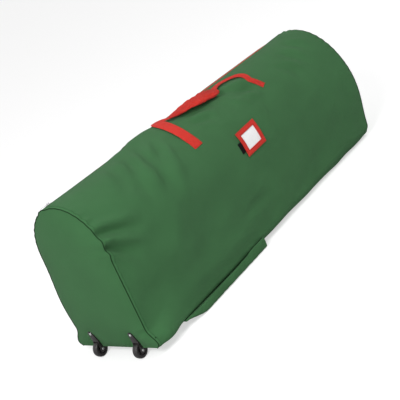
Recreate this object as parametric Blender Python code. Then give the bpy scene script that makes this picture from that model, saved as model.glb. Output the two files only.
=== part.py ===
"""Rolling storage bag for an artificial tree, modelled in metres with +Z up.

The bag lies on the floor along X, wheel end at -X, with the near side, which carries the card
holder, at -Y. Its cloth is one lofted section: a flat floor, round lower corners, side walls and
an arched top. Every sewn panel, strap and tape is cut from that section, so they share its sizes.
"""
import math

import bmesh
import bpy
import numpy as np
from mathutils import Matrix, Vector

# Bag body, from the wheel end seam to the far end seam
BAG_LENGTH = 1.370
CLOTH = 0.0020
GAP = 0.0003
FOOT_LENGTH = 0.125
FILL_LENGTH = 0.306
LANDING_LENGTH = 0.220
RIDE_HEIGHT = 0.032
BASE_HALF_WHEEL = 0.177
BASE_HALF_BODY = 0.1685
BASE_HALF_FAR = 0.1765
CORNER_WHEEL = 0.016
CORNER_FAR = 0.048
FLARE_RISE_WHEEL = 0.052
FLARE_RISE_FAR = 0.172
WALL_HALF_WHEEL = 0.1505
WALL_HALF_BODY = 0.1755
WALL_HALF_FAR = 0.188
ARCH_RISE_WHEEL = 0.176
ARCH_RISE_FAR = 0.2345
DOME_WHEEL = 0.034
DOME_FAR = 0.030
DOME_LOW_SHARE = 0.70
DOME_FULL_HEIGHT = 0.170
DOME_RING_SHARES = (1.0, 0.92, 0.78, 0.58, 0.36, 0.15)

# Spacing of the outlines along the bag: before the mouth, along it, after it, and along webbing
START_STEP = 0.045
MOUTH_STEP = 0.085
FAR_STEP = 0.035
STRAP_STEP = 0.015

# Zip line on the far side of the crown, and the hinge lines that the mouth opens on
ZIP_SIDE_WHEEL = 0.052
ZIP_SIDE_FAR = 0.068
ZIP_TOP_WHEEL = 0.5290
ZIP_TOP_FAR = 0.4460
TOP_STEPS_NEAR = 9
TOP_STEPS_FAR = 6
MOUTH_START = 0.130
MOUTH_END_INSET = 0.095
ROOT_DROP_WHEEL = 0.129
ROOT_DROP_FAR = 0.061
EDGE_FROM_ZIP = 0.0100
END_MARGIN = 0.012

# Zip
TAPE_THICK = 0.0010
TAPE_REACH = 0.0165
TAPE_STEPS = 2
COIL_WIDE = 0.0026
COIL_HIGH = 0.0020
COIL_APART_HALF = 0.0012
ZIP_END_CLEAR = 0.0010
TAPE_DROP = CLOTH + 2.0 * GAP
STOP_LENGTH = 0.008
SLIDER_LENGTH = 0.016
SLIDER_HALF_WIDE = 0.0062
SLIDER_PLATE = 0.0014
SLIDER_CLEAR = 0.0007
SLIDER_NECK_HALF = 0.0006
SLIDER_NECK_LONG = 0.0050
SLIDER_FROM_STOP = 0.012
BAIL_WIDE = 0.0030
BAIL_LONG = 0.0090
BAIL_RISE = 0.0050
BAIL_WIRE = 0.0013
PULL_WIDE = 0.0100
PULL_LONG = 0.0340
PULL_THICK = 0.0014
PULL_EYE_WIDE = 0.0046
PULL_EYE_LONG = 0.0075
PULL_RIM = 0.0024

# Base board inside and skid pad outside
BOARD_START = 0.034
BOARD_END = 0.600
BOARD_HALF = 0.128
BOARD_THICK = 0.0040
BOARD_CORNER = 0.020
SKID_START = 0.140
SKID_END = 0.604
SKID_LEVEL = 0.250
SKID_OUT = 0.0125
SKID_LIP_HEIGHT = 0.0410
SKID_CORNER = 0.0100
SKID_THIN = 0.0030

# Wheels and their moulded brackets
WHEEL_TRACK_HALF = 0.087
WHEEL_RADIUS = 0.0265
WHEEL_WIDE = 0.0180
WHEEL_OUT = 0.004
TYRE_THICK = 0.0070
TYRE_CROWN = 0.0016
HUB_BORE = 0.0031
HUB_BOSS = 0.0070
HUB_WEB = 0.0040
HUB_RIM_THICK = 0.0022
HUB_SPOKES = 6
SPOKE_THICK = 0.0022
AXLE_RADIUS = 0.0030
AXLE_HEAD_RADIUS = 0.0048
AXLE_HEAD_THICK = 0.0014
WHEEL_SIDE_CLEAR = 0.0012
WELL_CLEAR = 0.0028
BRACKET_WALL = 0.0022
BRACKET_NOSE = 0.0110
FLANGE_LONG = 0.060
FLANGE_THICK = 0.0024
TONGUE_TOP = 0.066
TONGUE_THICK = 0.0034
TONGUE_NOSE_HALF = 0.0085
NOTCH_CLEAR = 0.0006
RIVET_RADIUS = 0.0022
RIVET_HEAD = 0.0050
RIVET_DOME = 0.0018
RIVET_CLEAR = 0.0002
RIVET_DROP = 0.0100
WASHER_RADIUS = 0.0080
WASHER_THICK = 0.0012
WHEEL_FACETS = 28
RIVET_FACETS = 14

# Handles: webbing sewn flat to the cloth at both ends
STRAP_HALF = 0.0205
STRAP_THICK = 0.0016
STRAP_LIFT = 0.0004
STRAP_RISE = 0.0135
HANDLE_A = 0.531
HANDLE_SPREAD = 0.433
PATCH_LONG = 0.046
NEAR_PATCH_ANGLE_A = 37.4
NEAR_PATCH_ANGLE_B = 47.2
FAR_PATCH_ANGLE = 143.0
PATCH_GAP = 0.0030
GRIP_FROM_A = 0.100
GRIP_LONG = 0.150
GRIP_WALL = 0.0022
GRIP_SLOT_CLEAR = 0.0008

# Card holder on the near side, its card and the plain black tab
HOLDER_MIDDLE = 0.739
HOLDER_HALF_LONG = 0.0545
HOLDER_LOW_ANGLE = 2.6
HOLDER_TALL = 0.0880
HOLDER_BORDER = 0.0165
HOLDER_FACE = 0.0012
HOLDER_LIFT = 0.0011
POCKET_DEEP = 0.0030
WINDOW_THICK = 0.0006
CARD_THICK = 0.0006
CARD_HALF_LONG = 0.0400
CARD_TALL = 0.0640
POCKET_CLEAR = 0.0004
TAB_LONG = 0.0340
TAB_OUT = 0.0130
TAB_THICK = 0.0014

BINDING_DEEP = 0.0080
BINDING_THICK = 0.0012
BINDING_SET_BACK = 0.0036

# Colours
GREEN = (0.060, 0.165, 0.072, 1.0)
RED = (0.620, 0.030, 0.024, 1.0)
BLACK = (0.016, 0.014, 0.015, 1.0)
STEEL = (0.560, 0.560, 0.570, 1.0)
WHITE = (0.850, 0.850, 0.840, 1.0)
CLEAR = (0.800, 0.820, 0.830, 0.3)
BOARD = (0.180, 0.100, 0.050, 1.0)

# The box's middle is at X = 0: the two end domes differ in depth
START_X = -0.5 * (BAG_LENGTH + DOME_FAR - DOME_WHEEL)
TOUCH_DOWN = BAG_LENGTH - LANDING_LENGTH
MOUTH_END = BAG_LENGTH - MOUTH_END_INSET
SKID_HALF = BASE_HALF_BODY + SKID_OUT
HANDLE_B = HANDLE_A + HANDLE_SPREAD
GRIP_START = HANDLE_A + GRIP_FROM_A
GRIP_END = GRIP_START + GRIP_LONG


def mix(a, b, share):
    return a + (b - a) * share


def ease(share):
    share = min(1.0, max(0.0, share))
    return share * share * (3.0 - 2.0 * share)


def clear_scene():
    for thing in list(bpy.data.objects):
        bpy.data.objects.remove(thing, do_unlink=True)


def material(name, colour, roughness, metallic=0.0):
    found = bpy.data.materials.get(name)
    if found is not None:
        return found
    made = bpy.data.materials.new(name)
    made.use_nodes = True
    shader = made.node_tree.nodes["Principled BSDF"]
    shader.inputs["Base Color"].default_value = colour
    shader.inputs["Roughness"].default_value = roughness
    shader.inputs["Metallic"].default_value = metallic
    return made


def place(name, bm, finish, smooth=False):
    """Makes a named object from a bmesh whose points are already at their place."""
    bmesh.ops.recalc_face_normals(bm, faces=bm.faces)
    mesh = bpy.data.meshes.new(name)
    bm.to_mesh(mesh)
    bm.free()
    mesh.materials.append(finish)
    if smooth:
        mesh.shade_smooth()
        mesh.set_sharp_from_angle(angle=math.radians(35.0))
    made = bpy.data.objects.new(name, mesh)
    bpy.context.collection.objects.link(made)
    return made


def hinge_at(made, point):
    """Moves an object's origin to a joint's axis and leaves its surface in place."""
    made.data.transform(Matrix.Translation(-Vector(point)))
    made.location = point


def cutter(name, bm):
    made = place(name, bm, material("guide", WHITE, 0.5))
    made.hide_render = True
    made.display_type = "WIRE"
    return made


def cut(made, tool):
    change = made.modifiers.new("cut " + tool.name, "BOOLEAN")
    change.operation = "DIFFERENCE"
    change.solver = "EXACT"
    change.object = tool


def join(made, tool):
    change = made.modifiers.new("join " + tool.name, "BOOLEAN")
    change.operation = "UNION"
    change.solver = "EXACT"
    change.object = tool


class Section:
    """The cloth's outline, in Y and Z, at a distance from the wheel end seam."""

    def __init__(self, distance):
        share = distance / BAG_LENGTH
        self.distance = distance
        self.x = START_X + distance
        foot = mix(BASE_HALF_WHEEL, BASE_HALF_BODY, ease(distance / FOOT_LENGTH))
        self.base_half = mix(foot, BASE_HALF_FAR, ease(share))
        filled = mix(WALL_HALF_WHEEL, WALL_HALF_BODY, ease(distance / FILL_LENGTH))
        self.wall_half = mix(filled, WALL_HALF_FAR, ease(share))
        self.corner = mix(CORNER_WHEEL, CORNER_FAR, ease(share))
        self.flare_rise = mix(FLARE_RISE_WHEEL, FLARE_RISE_FAR, ease(distance / FILL_LENGTH))
        self.bottom = RIDE_HEIGHT * max(0.0, 1.0 - distance / TOUCH_DOWN)
        self.rise = mix(ARCH_RISE_WHEEL, ARCH_RISE_FAR, share)
        self.zip_side = mix(ZIP_SIDE_WHEEL, ZIP_SIDE_FAR, share)
        self.zip_top = mix(ZIP_TOP_WHEEL, ZIP_TOP_FAR, share)
        self.zip_angle = math.acos(-self.zip_side / self.wall_half)
        self.spring = self.zip_top - self.rise * math.sin(self.zip_angle)
        self.floor_half = self.base_half - self.corner

    def arch(self, angle, lift=0.0):
        """A point on the arched top, with angle 0 at the near spring and pi at the far one."""
        across = -math.cos(angle) / self.wall_half
        up = math.sin(angle) / self.rise
        length = math.hypot(across, up)
        y = -self.wall_half * math.cos(angle) + lift * across / length
        z = self.spring + self.rise * math.sin(angle) + lift * up / length
        return y, z

    def turn_for(self, length, angle):
        """The change of angle that moves along the arch by a length."""
        return length / math.hypot(self.wall_half * math.sin(angle), self.rise * math.cos(angle))

    def root_angle(self):
        height = self.zip_top - mix(ROOT_DROP_WHEEL, ROOT_DROP_FAR, self.distance / BAG_LENGTH)
        return math.asin((height - self.spring) / self.rise)

    def edge_angle(self, side):
        """Where the cloth stops beside the zip; side is -1 near and 1 far."""
        return self.zip_angle + side * self.turn_for(EDGE_FROM_ZIP, self.zip_angle)

    def corner_points(self, steps=5):
        """The near lower corner, from the floor panel's edge up to the wall."""
        middle_z = self.bottom + self.corner
        for step in range(steps + 1):
            angle = 0.5 * math.pi * step / steps
            yield (-self.floor_half - self.corner * math.sin(angle),
                   middle_z - self.corner * math.cos(angle))

    def wall_points(self, steps=4):
        """The near wall above the corner, drawn in to the arch's spring."""
        low = self.bottom + self.corner
        for step in range(1, steps + 1):
            share = step / steps
            z = mix(low, self.spring, share * share)
            y = mix(-self.base_half, -self.wall_half, ease((z - low) / self.flare_rise))
            yield y, z

    def side_points(self, stop_angle, steps=4):
        """The near side from the floor panel's edge to an angle on the arch."""
        points = list(self.corner_points()) + list(self.wall_points())
        for step in range(1, steps + 1):
            points.append(self.arch(stop_angle * step / steps))
        return points

    def top_points(self, side, steps):
        """One side's arch above its root, up to where the cloth stops beside the zip."""
        edge = self.edge_angle(side)
        root = self.root_angle()
        top = edge if side < 0 else math.pi - edge
        points = [self.arch(mix(root, top, step / steps)) for step in range(1, steps + 1)]
        return points if side < 0 else [(-y, z) for y, z in points]

    def closed_points(self, inset):
        """The whole outline, drawn in by an inset, as the end panels and bindings use it."""
        low = self.side_points(self.root_angle())
        near = low + self.top_points(-1, TOP_STEPS_NEAR)
        far = [(-y, z) for y, z in low] + self.top_points(1, TOP_STEPS_FAR)
        return inset_loop(near + list(reversed(far)), inset)


def inset_loop(points, inset):
    """Moves each point of a loop that runs clockwise from -Y inwards, square to the loop."""
    loop = np.array(points)
    along = np.roll(loop, -1, axis=0) - np.roll(loop, 1, axis=0)
    along /= np.linalg.norm(along, axis=1)[:, None]
    inward = np.stack([along[:, 1], -along[:, 0]], axis=1)
    return loop + inset * inward


def stations(start, end, step):
    count = max(1, math.ceil((end - start) / step - 0.001))
    return [mix(start, end, index / count) for index in range(count + 1)]


def face_outwards(bm):
    """Turns a sheet's faces away from the line through the bag's middle."""
    outwards = 0.0
    for face in bm.faces:
        middle = face.calc_center_median()
        away = Vector((0.0, middle.y, middle.z - 0.5 * ZIP_TOP_FAR))
        outwards += face.calc_area() * face.normal.dot(away)
    if outwards < 0.0:
        bmesh.ops.reverse_faces(bm, faces=bm.faces)


def sheet(name, rows, finish, skip=None, thickness=CLOTH, outward=-1.0):
    """A sewn panel: a grid of points given a wall on one side by Solidify."""
    bm = bmesh.new()
    grid = [[bm.verts.new(point) for point in row] for row in rows]
    for i in range(len(grid) - 1):
        for j in range(len(grid[0]) - 1):
            if skip is None or not skip(i, j):
                bm.faces.new((grid[i][j], grid[i][j + 1], grid[i + 1][j + 1], grid[i + 1][j]))
    loose = [vert for vert in bm.verts if not vert.link_faces]
    bmesh.ops.delete(bm, geom=loose, context="VERTS")
    bm.normal_update()
    face_outwards(bm)
    mesh = bpy.data.meshes.new(name)
    bm.to_mesh(mesh)
    bm.free()
    mesh.materials.append(finish)
    made = bpy.data.objects.new(name, mesh)
    bpy.context.collection.objects.link(made)
    wall = made.modifiers.new("wall", "SOLIDIFY")
    wall.thickness = thickness
    wall.offset = outward
    wall.use_even_offset = True
    return made


def on_side(points, side):
    """Mirrors near side points to the far side; side is -1 near and 1 far."""
    return [(-side * y, z) for y, z in points]


def bag_rows(distances, make_points):
    """One row of a panel's points for each distance from the wheel end seam."""
    rows = []
    for distance in distances:
        section = Section(distance)
        rows.append([(section.x, y, z) for y, z in make_points(section)])
    return rows


def body_stations():
    """Distances that the long panels share: before the mouth, along it and after it."""
    before = stations(0.0, MOUTH_START - 0.5 * GAP, START_STEP)
    middle = stations(MOUTH_START + 0.5 * GAP, MOUTH_END - 0.5 * GAP, MOUTH_STEP)[1:-1]
    after = stations(MOUTH_END + 0.5 * GAP, BAG_LENGTH, FAR_STEP)
    return before, middle, after


def stations_between(start, end):
    """A start and an end, with the panels' own stations between them."""
    before, middle, after = body_stations()
    return [start] + [d for d in before + middle + after if start < d < end] + [end]


def side_panel(name, side, finish):
    """One long side, with its strips at both ends that run up to the zip."""
    before, middle, after = body_stations()
    upper_steps = TOP_STEPS_NEAR if side < 0 else TOP_STEPS_FAR
    lower_count = len(Section(0.0).side_points(1.0))

    def points(section):
        root = section.root_angle()
        lower = on_side(section.side_points(root - section.turn_for(GAP, root)), side)
        return lower + section.top_points(side, upper_steps)

    first = len(before) - 1
    last = first + len(middle) + 1
    return sheet(name, bag_rows(before + middle + after, points), finish,
                 skip=lambda i, j: first <= i < last and j >= lower_count - 1)


def mouth_flap(name, side, finish):
    """The upper part of a side, which folds outwards from its root once the zip is open."""
    distances = stations_between(MOUTH_START + 0.5 * GAP, MOUTH_END - 0.5 * GAP)
    steps = TOP_STEPS_NEAR if side < 0 else TOP_STEPS_FAR

    def points(section):
        root = section.root_angle()
        root += section.turn_for(GAP, root)
        edge = section.edge_angle(side)
        top = edge if side < 0 else math.pi - edge
        angles = [mix(root, top, step / steps) for step in range(steps + 1)]
        return [section.arch(angle if side < 0 else math.pi - angle) for angle in angles]

    made = sheet(name, bag_rows(distances, points), finish)
    hinge_at(made, flap_hinge(side)[0])
    return made


def flap_hinge(side):
    """Two points on a flap's hinge line, just outside the cloth all along its root."""
    def root(distance):
        section = Section(distance)
        y, z = section.arch(section.root_angle())
        return -y, z

    ends = [root(MOUTH_START), root(MOUTH_END)]
    swell = 0.0
    for distance in stations(MOUTH_START, MOUTH_END, START_STEP):
        share = (distance - MOUTH_START) / (MOUTH_END - MOUTH_START)
        swell = max(swell, root(distance)[0] - mix(ends[0][0], ends[1][0], share))
    return [(START_X + distance, side * (y + swell + GAP), z)
            for distance, (y, z) in zip((MOUTH_START, MOUTH_END), ends)]


def floor_panel(finish):
    before, middle, after = body_stations()
    steps = 4

    def points(section):
        half = section.floor_half - 0.5 * CLOTH
        return [(mix(half, -half, step / steps), section.bottom) for step in range(steps + 1)]

    made = sheet("bottom_panel", bag_rows(before + middle + after, points), finish)
    for side in (-1, 1):
        cut(made, bpy.data.objects[bracket_name(side) + "_notch"])
    return made


def dome_depth(section, share, height, depth):
    """How far an end panel stands out at a share of the way from its middle to its seam."""
    low = DOME_LOW_SHARE + (1.0 - DOME_LOW_SHARE) * ease((height - section.bottom) / DOME_FULL_HEIGHT)
    return depth * (1.0 - share * share) * low


def end_panel(name, distance, direction, depth, finish):
    """An end cloth that swells past its seam; direction is -1 at the wheels and 1 at the far end."""
    section = Section(distance)
    loop = section.closed_points(CLOTH + 2.0 * GAP)
    middle = Vector((0.0, 0.5 * (section.bottom + section.spring + section.rise)))
    bm = bmesh.new()
    rings = []
    for share in DOME_RING_SHARES:
        ring = []
        for y, z in loop:
            at = middle.lerp(Vector((y, z)), share)
            x = section.x + direction * dome_depth(section, share, at.y, depth)
            ring.append(bm.verts.new((x, at.x, at.y)))
        rings.append(ring)
    count = len(loop)
    for outer, inner in zip(rings, rings[1:]):
        for k in range(count):
            n = (k + 1) % count
            bm.faces.new((outer[k], outer[n], inner[n], inner[k]))
    bm.faces.new(rings[-1])
    bmesh.ops.recalc_face_normals(bm, faces=bm.faces)
    if sum(face.normal.x * face.calc_area() for face in bm.faces) * direction < 0:
        bmesh.ops.reverse_faces(bm, faces=bm.faces)
    mesh = bpy.data.meshes.new(name)
    bm.to_mesh(mesh)
    bm.free()
    mesh.materials.append(finish)
    made = bpy.data.objects.new(name, mesh)
    bpy.context.collection.objects.link(made)
    wall = made.modifiers.new("wall", "SOLIDIFY")
    wall.thickness = CLOTH
    wall.offset = -1.0
    wall.use_even_offset = True
    return made


def seam_binding(name, distance, direction, finish):
    """The bound seam allowance inside an end seam, from one lower corner over to the other."""
    section = Section(distance - direction * BINDING_SET_BACK)
    outer = section.closed_points(CLOTH + 3.0 * GAP)
    inner = section.closed_points(CLOTH + BINDING_DEEP)
    x0 = section.x
    x1 = x0 - direction * BINDING_THICK
    bm = bmesh.new()
    rings = []
    for loop, x in ((outer, x0), (outer, x1), (inner, x1), (inner, x0)):
        rings.append([bm.verts.new((x, y, z)) for y, z in loop])
    for a, b in zip(rings, rings[1:] + rings[:1]):
        for k in range(len(outer) - 1):
            bm.faces.new((a[k], a[k + 1], b[k + 1], b[k]))
    bm.faces.new([ring[0] for ring in rings])
    bm.faces.new([ring[-1] for ring in reversed(rings)])
    return place(name, bm, finish)


def prism(bm, outline, base, across, up, along):
    """An extruded outline: each point (a, b) goes to base + a across + b up, swept by along."""
    base, across, up, along = (Vector(v) for v in (base, across, up, along))
    low = [bm.verts.new(base + a * across + b * up) for a, b in outline]
    high = [bm.verts.new(vert.co + along) for vert in low]
    bm.faces.new(low)
    bm.faces.new(list(reversed(high)))
    for k in range(len(outline)):
        n = (k + 1) % len(outline)
        bm.faces.new((low[n], low[k], high[k], high[n]))


def box_outline(a0, a1, b0, b1):
    return [(a0, b0), (a1, b0), (a1, b1), (a0, b1)]


def zip_frame():
    """The zip's straight line and the directions along, across and out of it."""
    start = Section(0.0)
    end = Section(BAG_LENGTH)
    origin = Vector((start.x, start.zip_side, start.zip_top))
    along = (Vector((end.x, end.zip_side, end.zip_top)) - origin).normalized()
    middle = Section(0.5 * BAG_LENGTH)
    step = middle.turn_for(EDGE_FROM_ZIP, middle.zip_angle)
    y0, z0 = middle.arch(middle.zip_angle - step)
    y1, z1 = middle.arch(middle.zip_angle + step)
    across = Vector((0.0, y1 - y0, z1 - z0))
    across = (across - across.dot(along) * along).normalized()
    return origin, along, across, along.cross(across).normalized()


def zip_span(distance):
    """The length along the zip's line at a distance from the wheel end seam."""
    origin, along, across, out = zip_frame()
    return distance / along.x


def zip_prism(bm, outline, start, end):
    """A prism along the zip; its outline is in the across and out directions."""
    origin, along, across, out = zip_frame()
    prism(bm, outline, origin + along * zip_span(start), across, out,
          along * (zip_span(end) - zip_span(start)))


def zip_loft(bm, outline, distances):
    """A loft that keeps to the arch beside the zip; its outline is in offset and lift."""
    loops = []
    for distance in distances:
        section = Section(distance)
        loop = []
        for offset, lift in outline:
            y, z = section.arch(section.zip_angle + section.turn_for(offset, section.zip_angle), lift)
            loop.append((section.x, y, z))
        loops.append(loop)
    loft(bm, loops)


def tape_outline(side, inner=COIL_APART_HALF):
    """A tape's section under the cloth beside the zip."""
    across = [side * mix(inner, TAPE_REACH, step / TAPE_STEPS) for step in range(TAPE_STEPS + 1)]
    return ([(a, -TAPE_DROP - TAPE_THICK) for a in across]
            + [(a, -TAPE_DROP) for a in reversed(across)])


def coil_outline(side):
    """A coil row's section: a bead that stands on the tape's inner edge."""
    inner = COIL_APART_HALF
    outer = COIL_APART_HALF + COIL_WIDE
    low = -TAPE_DROP + GAP
    high = low + COIL_HIGH
    slope = 0.25 * COIL_WIDE
    half = [(inner, low), (outer, low), (outer, high - slope), (outer - slope, high),
            (inner + slope, high), (inner, high - slope)]
    return [(side * a, b) for a, b in half]


def zip_half(side, name, finish_tape, finish_coil, pivot):
    start = MOUTH_START + ZIP_END_CLEAR
    end = MOUTH_END - ZIP_END_CLEAR
    bm = bmesh.new()
    zip_loft(bm, tape_outline(side), stations_between(start, end))
    tape = place("zipper_tape_" + name, bm, finish_tape)
    bm = bmesh.new()
    zip_prism(bm, coil_outline(side), start, end)
    coil = place("zipper_coil_" + name, bm, finish_coil)
    hinge_at(tape, pivot)
    hinge_at(coil, pivot)


def zip_end(name, start, end, stop_at, finish):
    """A sewn-down end of the zip: both tapes and coils, held together by the stop."""
    bm = bmesh.new()
    coil_edge = COIL_APART_HALF + COIL_WIDE
    low = -TAPE_DROP - TAPE_THICK
    high = -TAPE_DROP + GAP + COIL_HIGH
    for side in (-1, 1):
        tape = tape_outline(side, coil_edge)
        inner = [(side * coil_edge, high), (side * COIL_APART_HALF, high), (side * COIL_APART_HALF, low)]
        zip_loft(bm, tape + inner, stations_between(start, end))
    made = place(name, bm, finish)
    bm = bmesh.new()
    outline = box_outline(-coil_edge - GAP, coil_edge + GAP, low - GAP, high + GAP)
    zip_prism(bm, outline, stop_at, stop_at + STOP_LENGTH)
    join(made, cutter(name + "_stop", bm))
    return made


def slider_place():
    return END_MARGIN + STOP_LENGTH + SLIDER_FROM_STOP


def slider(finish):
    """Two plates joined by a neck between the coils, with a bail on top for the pull."""
    start = slider_place()
    end = start + SLIDER_LENGTH
    coil_top = -TAPE_DROP + GAP + COIL_HIGH
    top = coil_top + SLIDER_CLEAR
    bottom = -TAPE_DROP - TAPE_THICK - SLIDER_CLEAR
    half = SLIDER_HALF_WIDE
    neck = SLIDER_NECK_HALF
    flange = COIL_APART_HALF + COIL_WIDE + SLIDER_CLEAR
    flange_low = -TAPE_DROP + SLIDER_CLEAR
    bm = bmesh.new()
    zip_prism(bm, [(-half, flange_low), (-flange, flange_low), (-flange, top), (flange, top),
                   (flange, flange_low), (half, flange_low), (half, top + SLIDER_PLATE),
                   (-half, top + SLIDER_PLATE)], start, end)
    made = place("zipper_slider", bm, finish)
    bm = bmesh.new()
    zip_prism(bm, box_outline(-half, half, bottom - SLIDER_PLATE, bottom), start, end)
    join(made, cutter("slider_lower_plate", bm))
    bm = bmesh.new()
    overrun = 0.5 * SLIDER_PLATE
    zip_prism(bm, box_outline(-neck, neck, bottom - overrun, top + overrun),
              end - SLIDER_NECK_LONG, end)
    join(made, cutter("slider_neck", bm))
    bm = bmesh.new()
    deck = top + SLIDER_PLATE
    bail_start = start + 0.5 * (SLIDER_LENGTH - BAIL_LONG)
    post = BAIL_WIRE
    arch = [(0.0, deck - overrun), (post, deck - overrun), (post, deck + BAIL_RISE - BAIL_WIRE),
            (BAIL_LONG - post, deck + BAIL_RISE - BAIL_WIRE), (BAIL_LONG - post, deck - overrun),
            (BAIL_LONG, deck - overrun), (BAIL_LONG, deck + BAIL_RISE - post),
            (BAIL_LONG - post, deck + BAIL_RISE), (post, deck + BAIL_RISE),
            (0.0, deck + BAIL_RISE - post)]
    origin, along, across, out = zip_frame()
    base = origin + along * zip_span(bail_start) - across * (0.5 * BAIL_WIDE)
    prism(bm, arch, base, along, out, across * BAIL_WIDE)
    join(made, cutter("slider_bail", bm))
    hinge_at(made, origin + along * zip_span(start))
    return made


def pull_hinge():
    """The place where the pull's eye turns in the slider's bail."""
    origin, along, across, out = zip_frame()
    deck = -TAPE_DROP + GAP + COIL_HIGH + SLIDER_CLEAR + SLIDER_PLATE
    start = slider_place() + 0.5 * (SLIDER_LENGTH - BAIL_LONG) + BAIL_WIRE + 0.5 * PULL_RIM + GAP
    return origin + along * zip_span(start) + out * (deck + GAP + math.hypot(0.5 * PULL_RIM, 0.5 * PULL_THICK))


def pull_tab(finish):
    """A flat tab with an eye round the bail; it lies back over the zip's end."""
    origin, along, across, out = zip_frame()
    pivot = pull_hinge()
    bm = bmesh.new()
    half = 0.5 * PULL_WIDE
    nose = 0.25 * PULL_WIDE
    rim = 0.5 * PULL_RIM
    outline = [(rim, -half), (rim, half), (nose - PULL_LONG, half), (-PULL_LONG, half - nose),
               (-PULL_LONG, nose - half), (nose - PULL_LONG, -half)]
    base = pivot - out * (0.5 * PULL_THICK)
    prism(bm, outline, base, along, across, out * PULL_THICK)
    made = place("zipper_pull", bm, finish)
    bm = bmesh.new()
    eye = box_outline(-rim - PULL_EYE_LONG, -rim, -0.5 * PULL_EYE_WIDE, 0.5 * PULL_EYE_WIDE)
    prism(bm, eye, base - out * PULL_THICK, along, across, out * (3.0 * PULL_THICK))
    cut(made, cutter("pull_eye", bm))
    hinge_at(made, pivot)
    return made


def turned(bm, profile, base, axis, segments=WHEEL_FACETS):
    """A turned solid: the profile's (radius, height) points revolved about an axis."""
    axis = Vector(axis).normalized()
    side = axis.orthogonal().normalized()
    rings = []
    for k in range(segments):
        arm = Matrix.Rotation(2.0 * math.pi * k / segments, 3, axis) @ side
        rings.append([bm.verts.new(Vector(base) + arm * r + axis * h) for r, h in profile])
    count = len(profile)
    for k in range(segments):
        a = rings[k]
        b = rings[(k + 1) % segments]
        for j in range(count):
            n = (j + 1) % count
            if profile[j][0] == 0.0 and profile[n][0] == 0.0:
                continue
            bm.faces.new((a[j], a[n], b[n], b[j]))
    bmesh.ops.remove_doubles(bm, verts=bm.verts, dist=0.1 * GAP)
    bmesh.ops.dissolve_degenerate(bm, edges=bm.edges, dist=0.1 * GAP)


def arc(centre, radius, start, end, steps):
    """Points of an arc in degrees, both ends included."""
    for step in range(steps + 1):
        angle = math.radians(mix(start, end, step / steps))
        yield centre[0] + radius * math.cos(angle), centre[1] + radius * math.sin(angle)


def bracket_name(side):
    return "wheel_bracket_near" if side < 0 else "wheel_bracket_far"


def wheel_centre(side):
    return Vector((START_X - WHEEL_OUT, side * WHEEL_TRACK_HALF, WHEEL_RADIUS))


def well_radius():
    return WHEEL_RADIUS + WELL_CLEAR


def bracket_half_wide():
    return 0.5 * WHEEL_WIDE + WHEEL_SIDE_CLEAR + BRACKET_WALL


def dome_x(height):
    """The wheel end cloth's outer face, beside a bracket, at a height above the floor."""
    section = Section(0.0)
    middle_z = 0.5 * (section.bottom + section.spring + section.rise)
    share = (middle_z - height) / (middle_z - section.bottom)
    return section.x - dome_depth(section, share, height, DOME_WHEEL)


def tongue_line():
    """The tongue's back face, from the panel's foot to the tongue's top, clear of the cloth."""
    low = wheel_centre(1).z + well_radius() + BRACKET_WALL
    high = Section(0.0).bottom + TONGUE_TOP
    return (dome_x(low) - 2.0 * GAP, low), (dome_x(high) - 2.0 * GAP, high)


def bracket_notch(side):
    """The opening in the bag's corner that a wheel bracket fills."""
    centre = wheel_centre(side)
    half = bracket_half_wide() + NOTCH_CLEAR
    reach = well_radius() + BRACKET_WALL + NOTCH_CLEAR
    bm = bmesh.new()
    outline = box_outline(-DOME_WHEEL - reach, centre.x - START_X + reach, -reach, reach)
    prism(bm, outline, (START_X, centre.y - half, centre.z), (1, 0, 0), (0, 0, 1), (0, 2 * half, 0))
    return cutter(bracket_name(side) + "_notch", bm)


def bracket(side, finish):
    """A moulded corner cup with two cheeks for the axle and a riveted tongue up the end panel."""
    centre = wheel_centre(side)
    half = bracket_half_wide()
    outer = well_radius() + BRACKET_WALL
    flange_top = Section(outer - WHEEL_OUT).bottom - centre.z - GAP
    flange_tip = Section(FLANGE_LONG).bottom - centre.z - GAP
    tongue_low, tongue_high = tongue_line()
    back_low = (tongue_low[0] - centre.x, tongue_low[1] - centre.z)
    back_high = (tongue_high[0] - centre.x, tongue_high[1] - centre.z + NOTCH_CLEAR)
    rear_angle = math.degrees(math.asin(flange_top / outer))
    flange_end = START_X + FLANGE_LONG - centre.x
    outline = [back_high, back_low]
    outline += list(arc((0.0, 0.0), outer, 80.0, rear_angle, 7))
    outline += [(flange_end, flange_tip), (flange_end, flange_tip - FLANGE_THICK)]
    outline += [(outer, flange_top - FLANGE_THICK)]
    outline += list(arc((0.0, 0.0), BRACKET_NOSE, -60.0, -200.0, 7))
    outline += [(x - TONGUE_THICK, z) for x, z in (back_low, back_high)]
    bm = bmesh.new()
    prism(bm, outline, (centre.x, centre.y - half, centre.z), (1, 0, 0), (0, 0, 1), (0, 2 * half, 0))
    made = place(bracket_name(side), bm, finish)
    bm = bmesh.new()
    bore = AXLE_RADIUS + RIVET_CLEAR
    turned(bm, [(0.0, -2 * half), (bore, -2 * half), (bore, 2 * half), (0.0, 2 * half)],
           centre, (0, 1, 0))
    cut(made, cutter(made.name + "_bore", bm))
    cut(made, rivet_hole(side))
    cut(made, tongue_trim(side))
    bm = bmesh.new()
    slot = 0.5 * WHEEL_WIDE + WHEEL_SIDE_CLEAR
    turned(bm, [(0.0, -slot), (well_radius(), -slot), (well_radius(), slot), (0.0, slot)],
           centre, (0, 1, 0))
    cut(made, cutter(made.name + "_well", bm))
    return made


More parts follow.
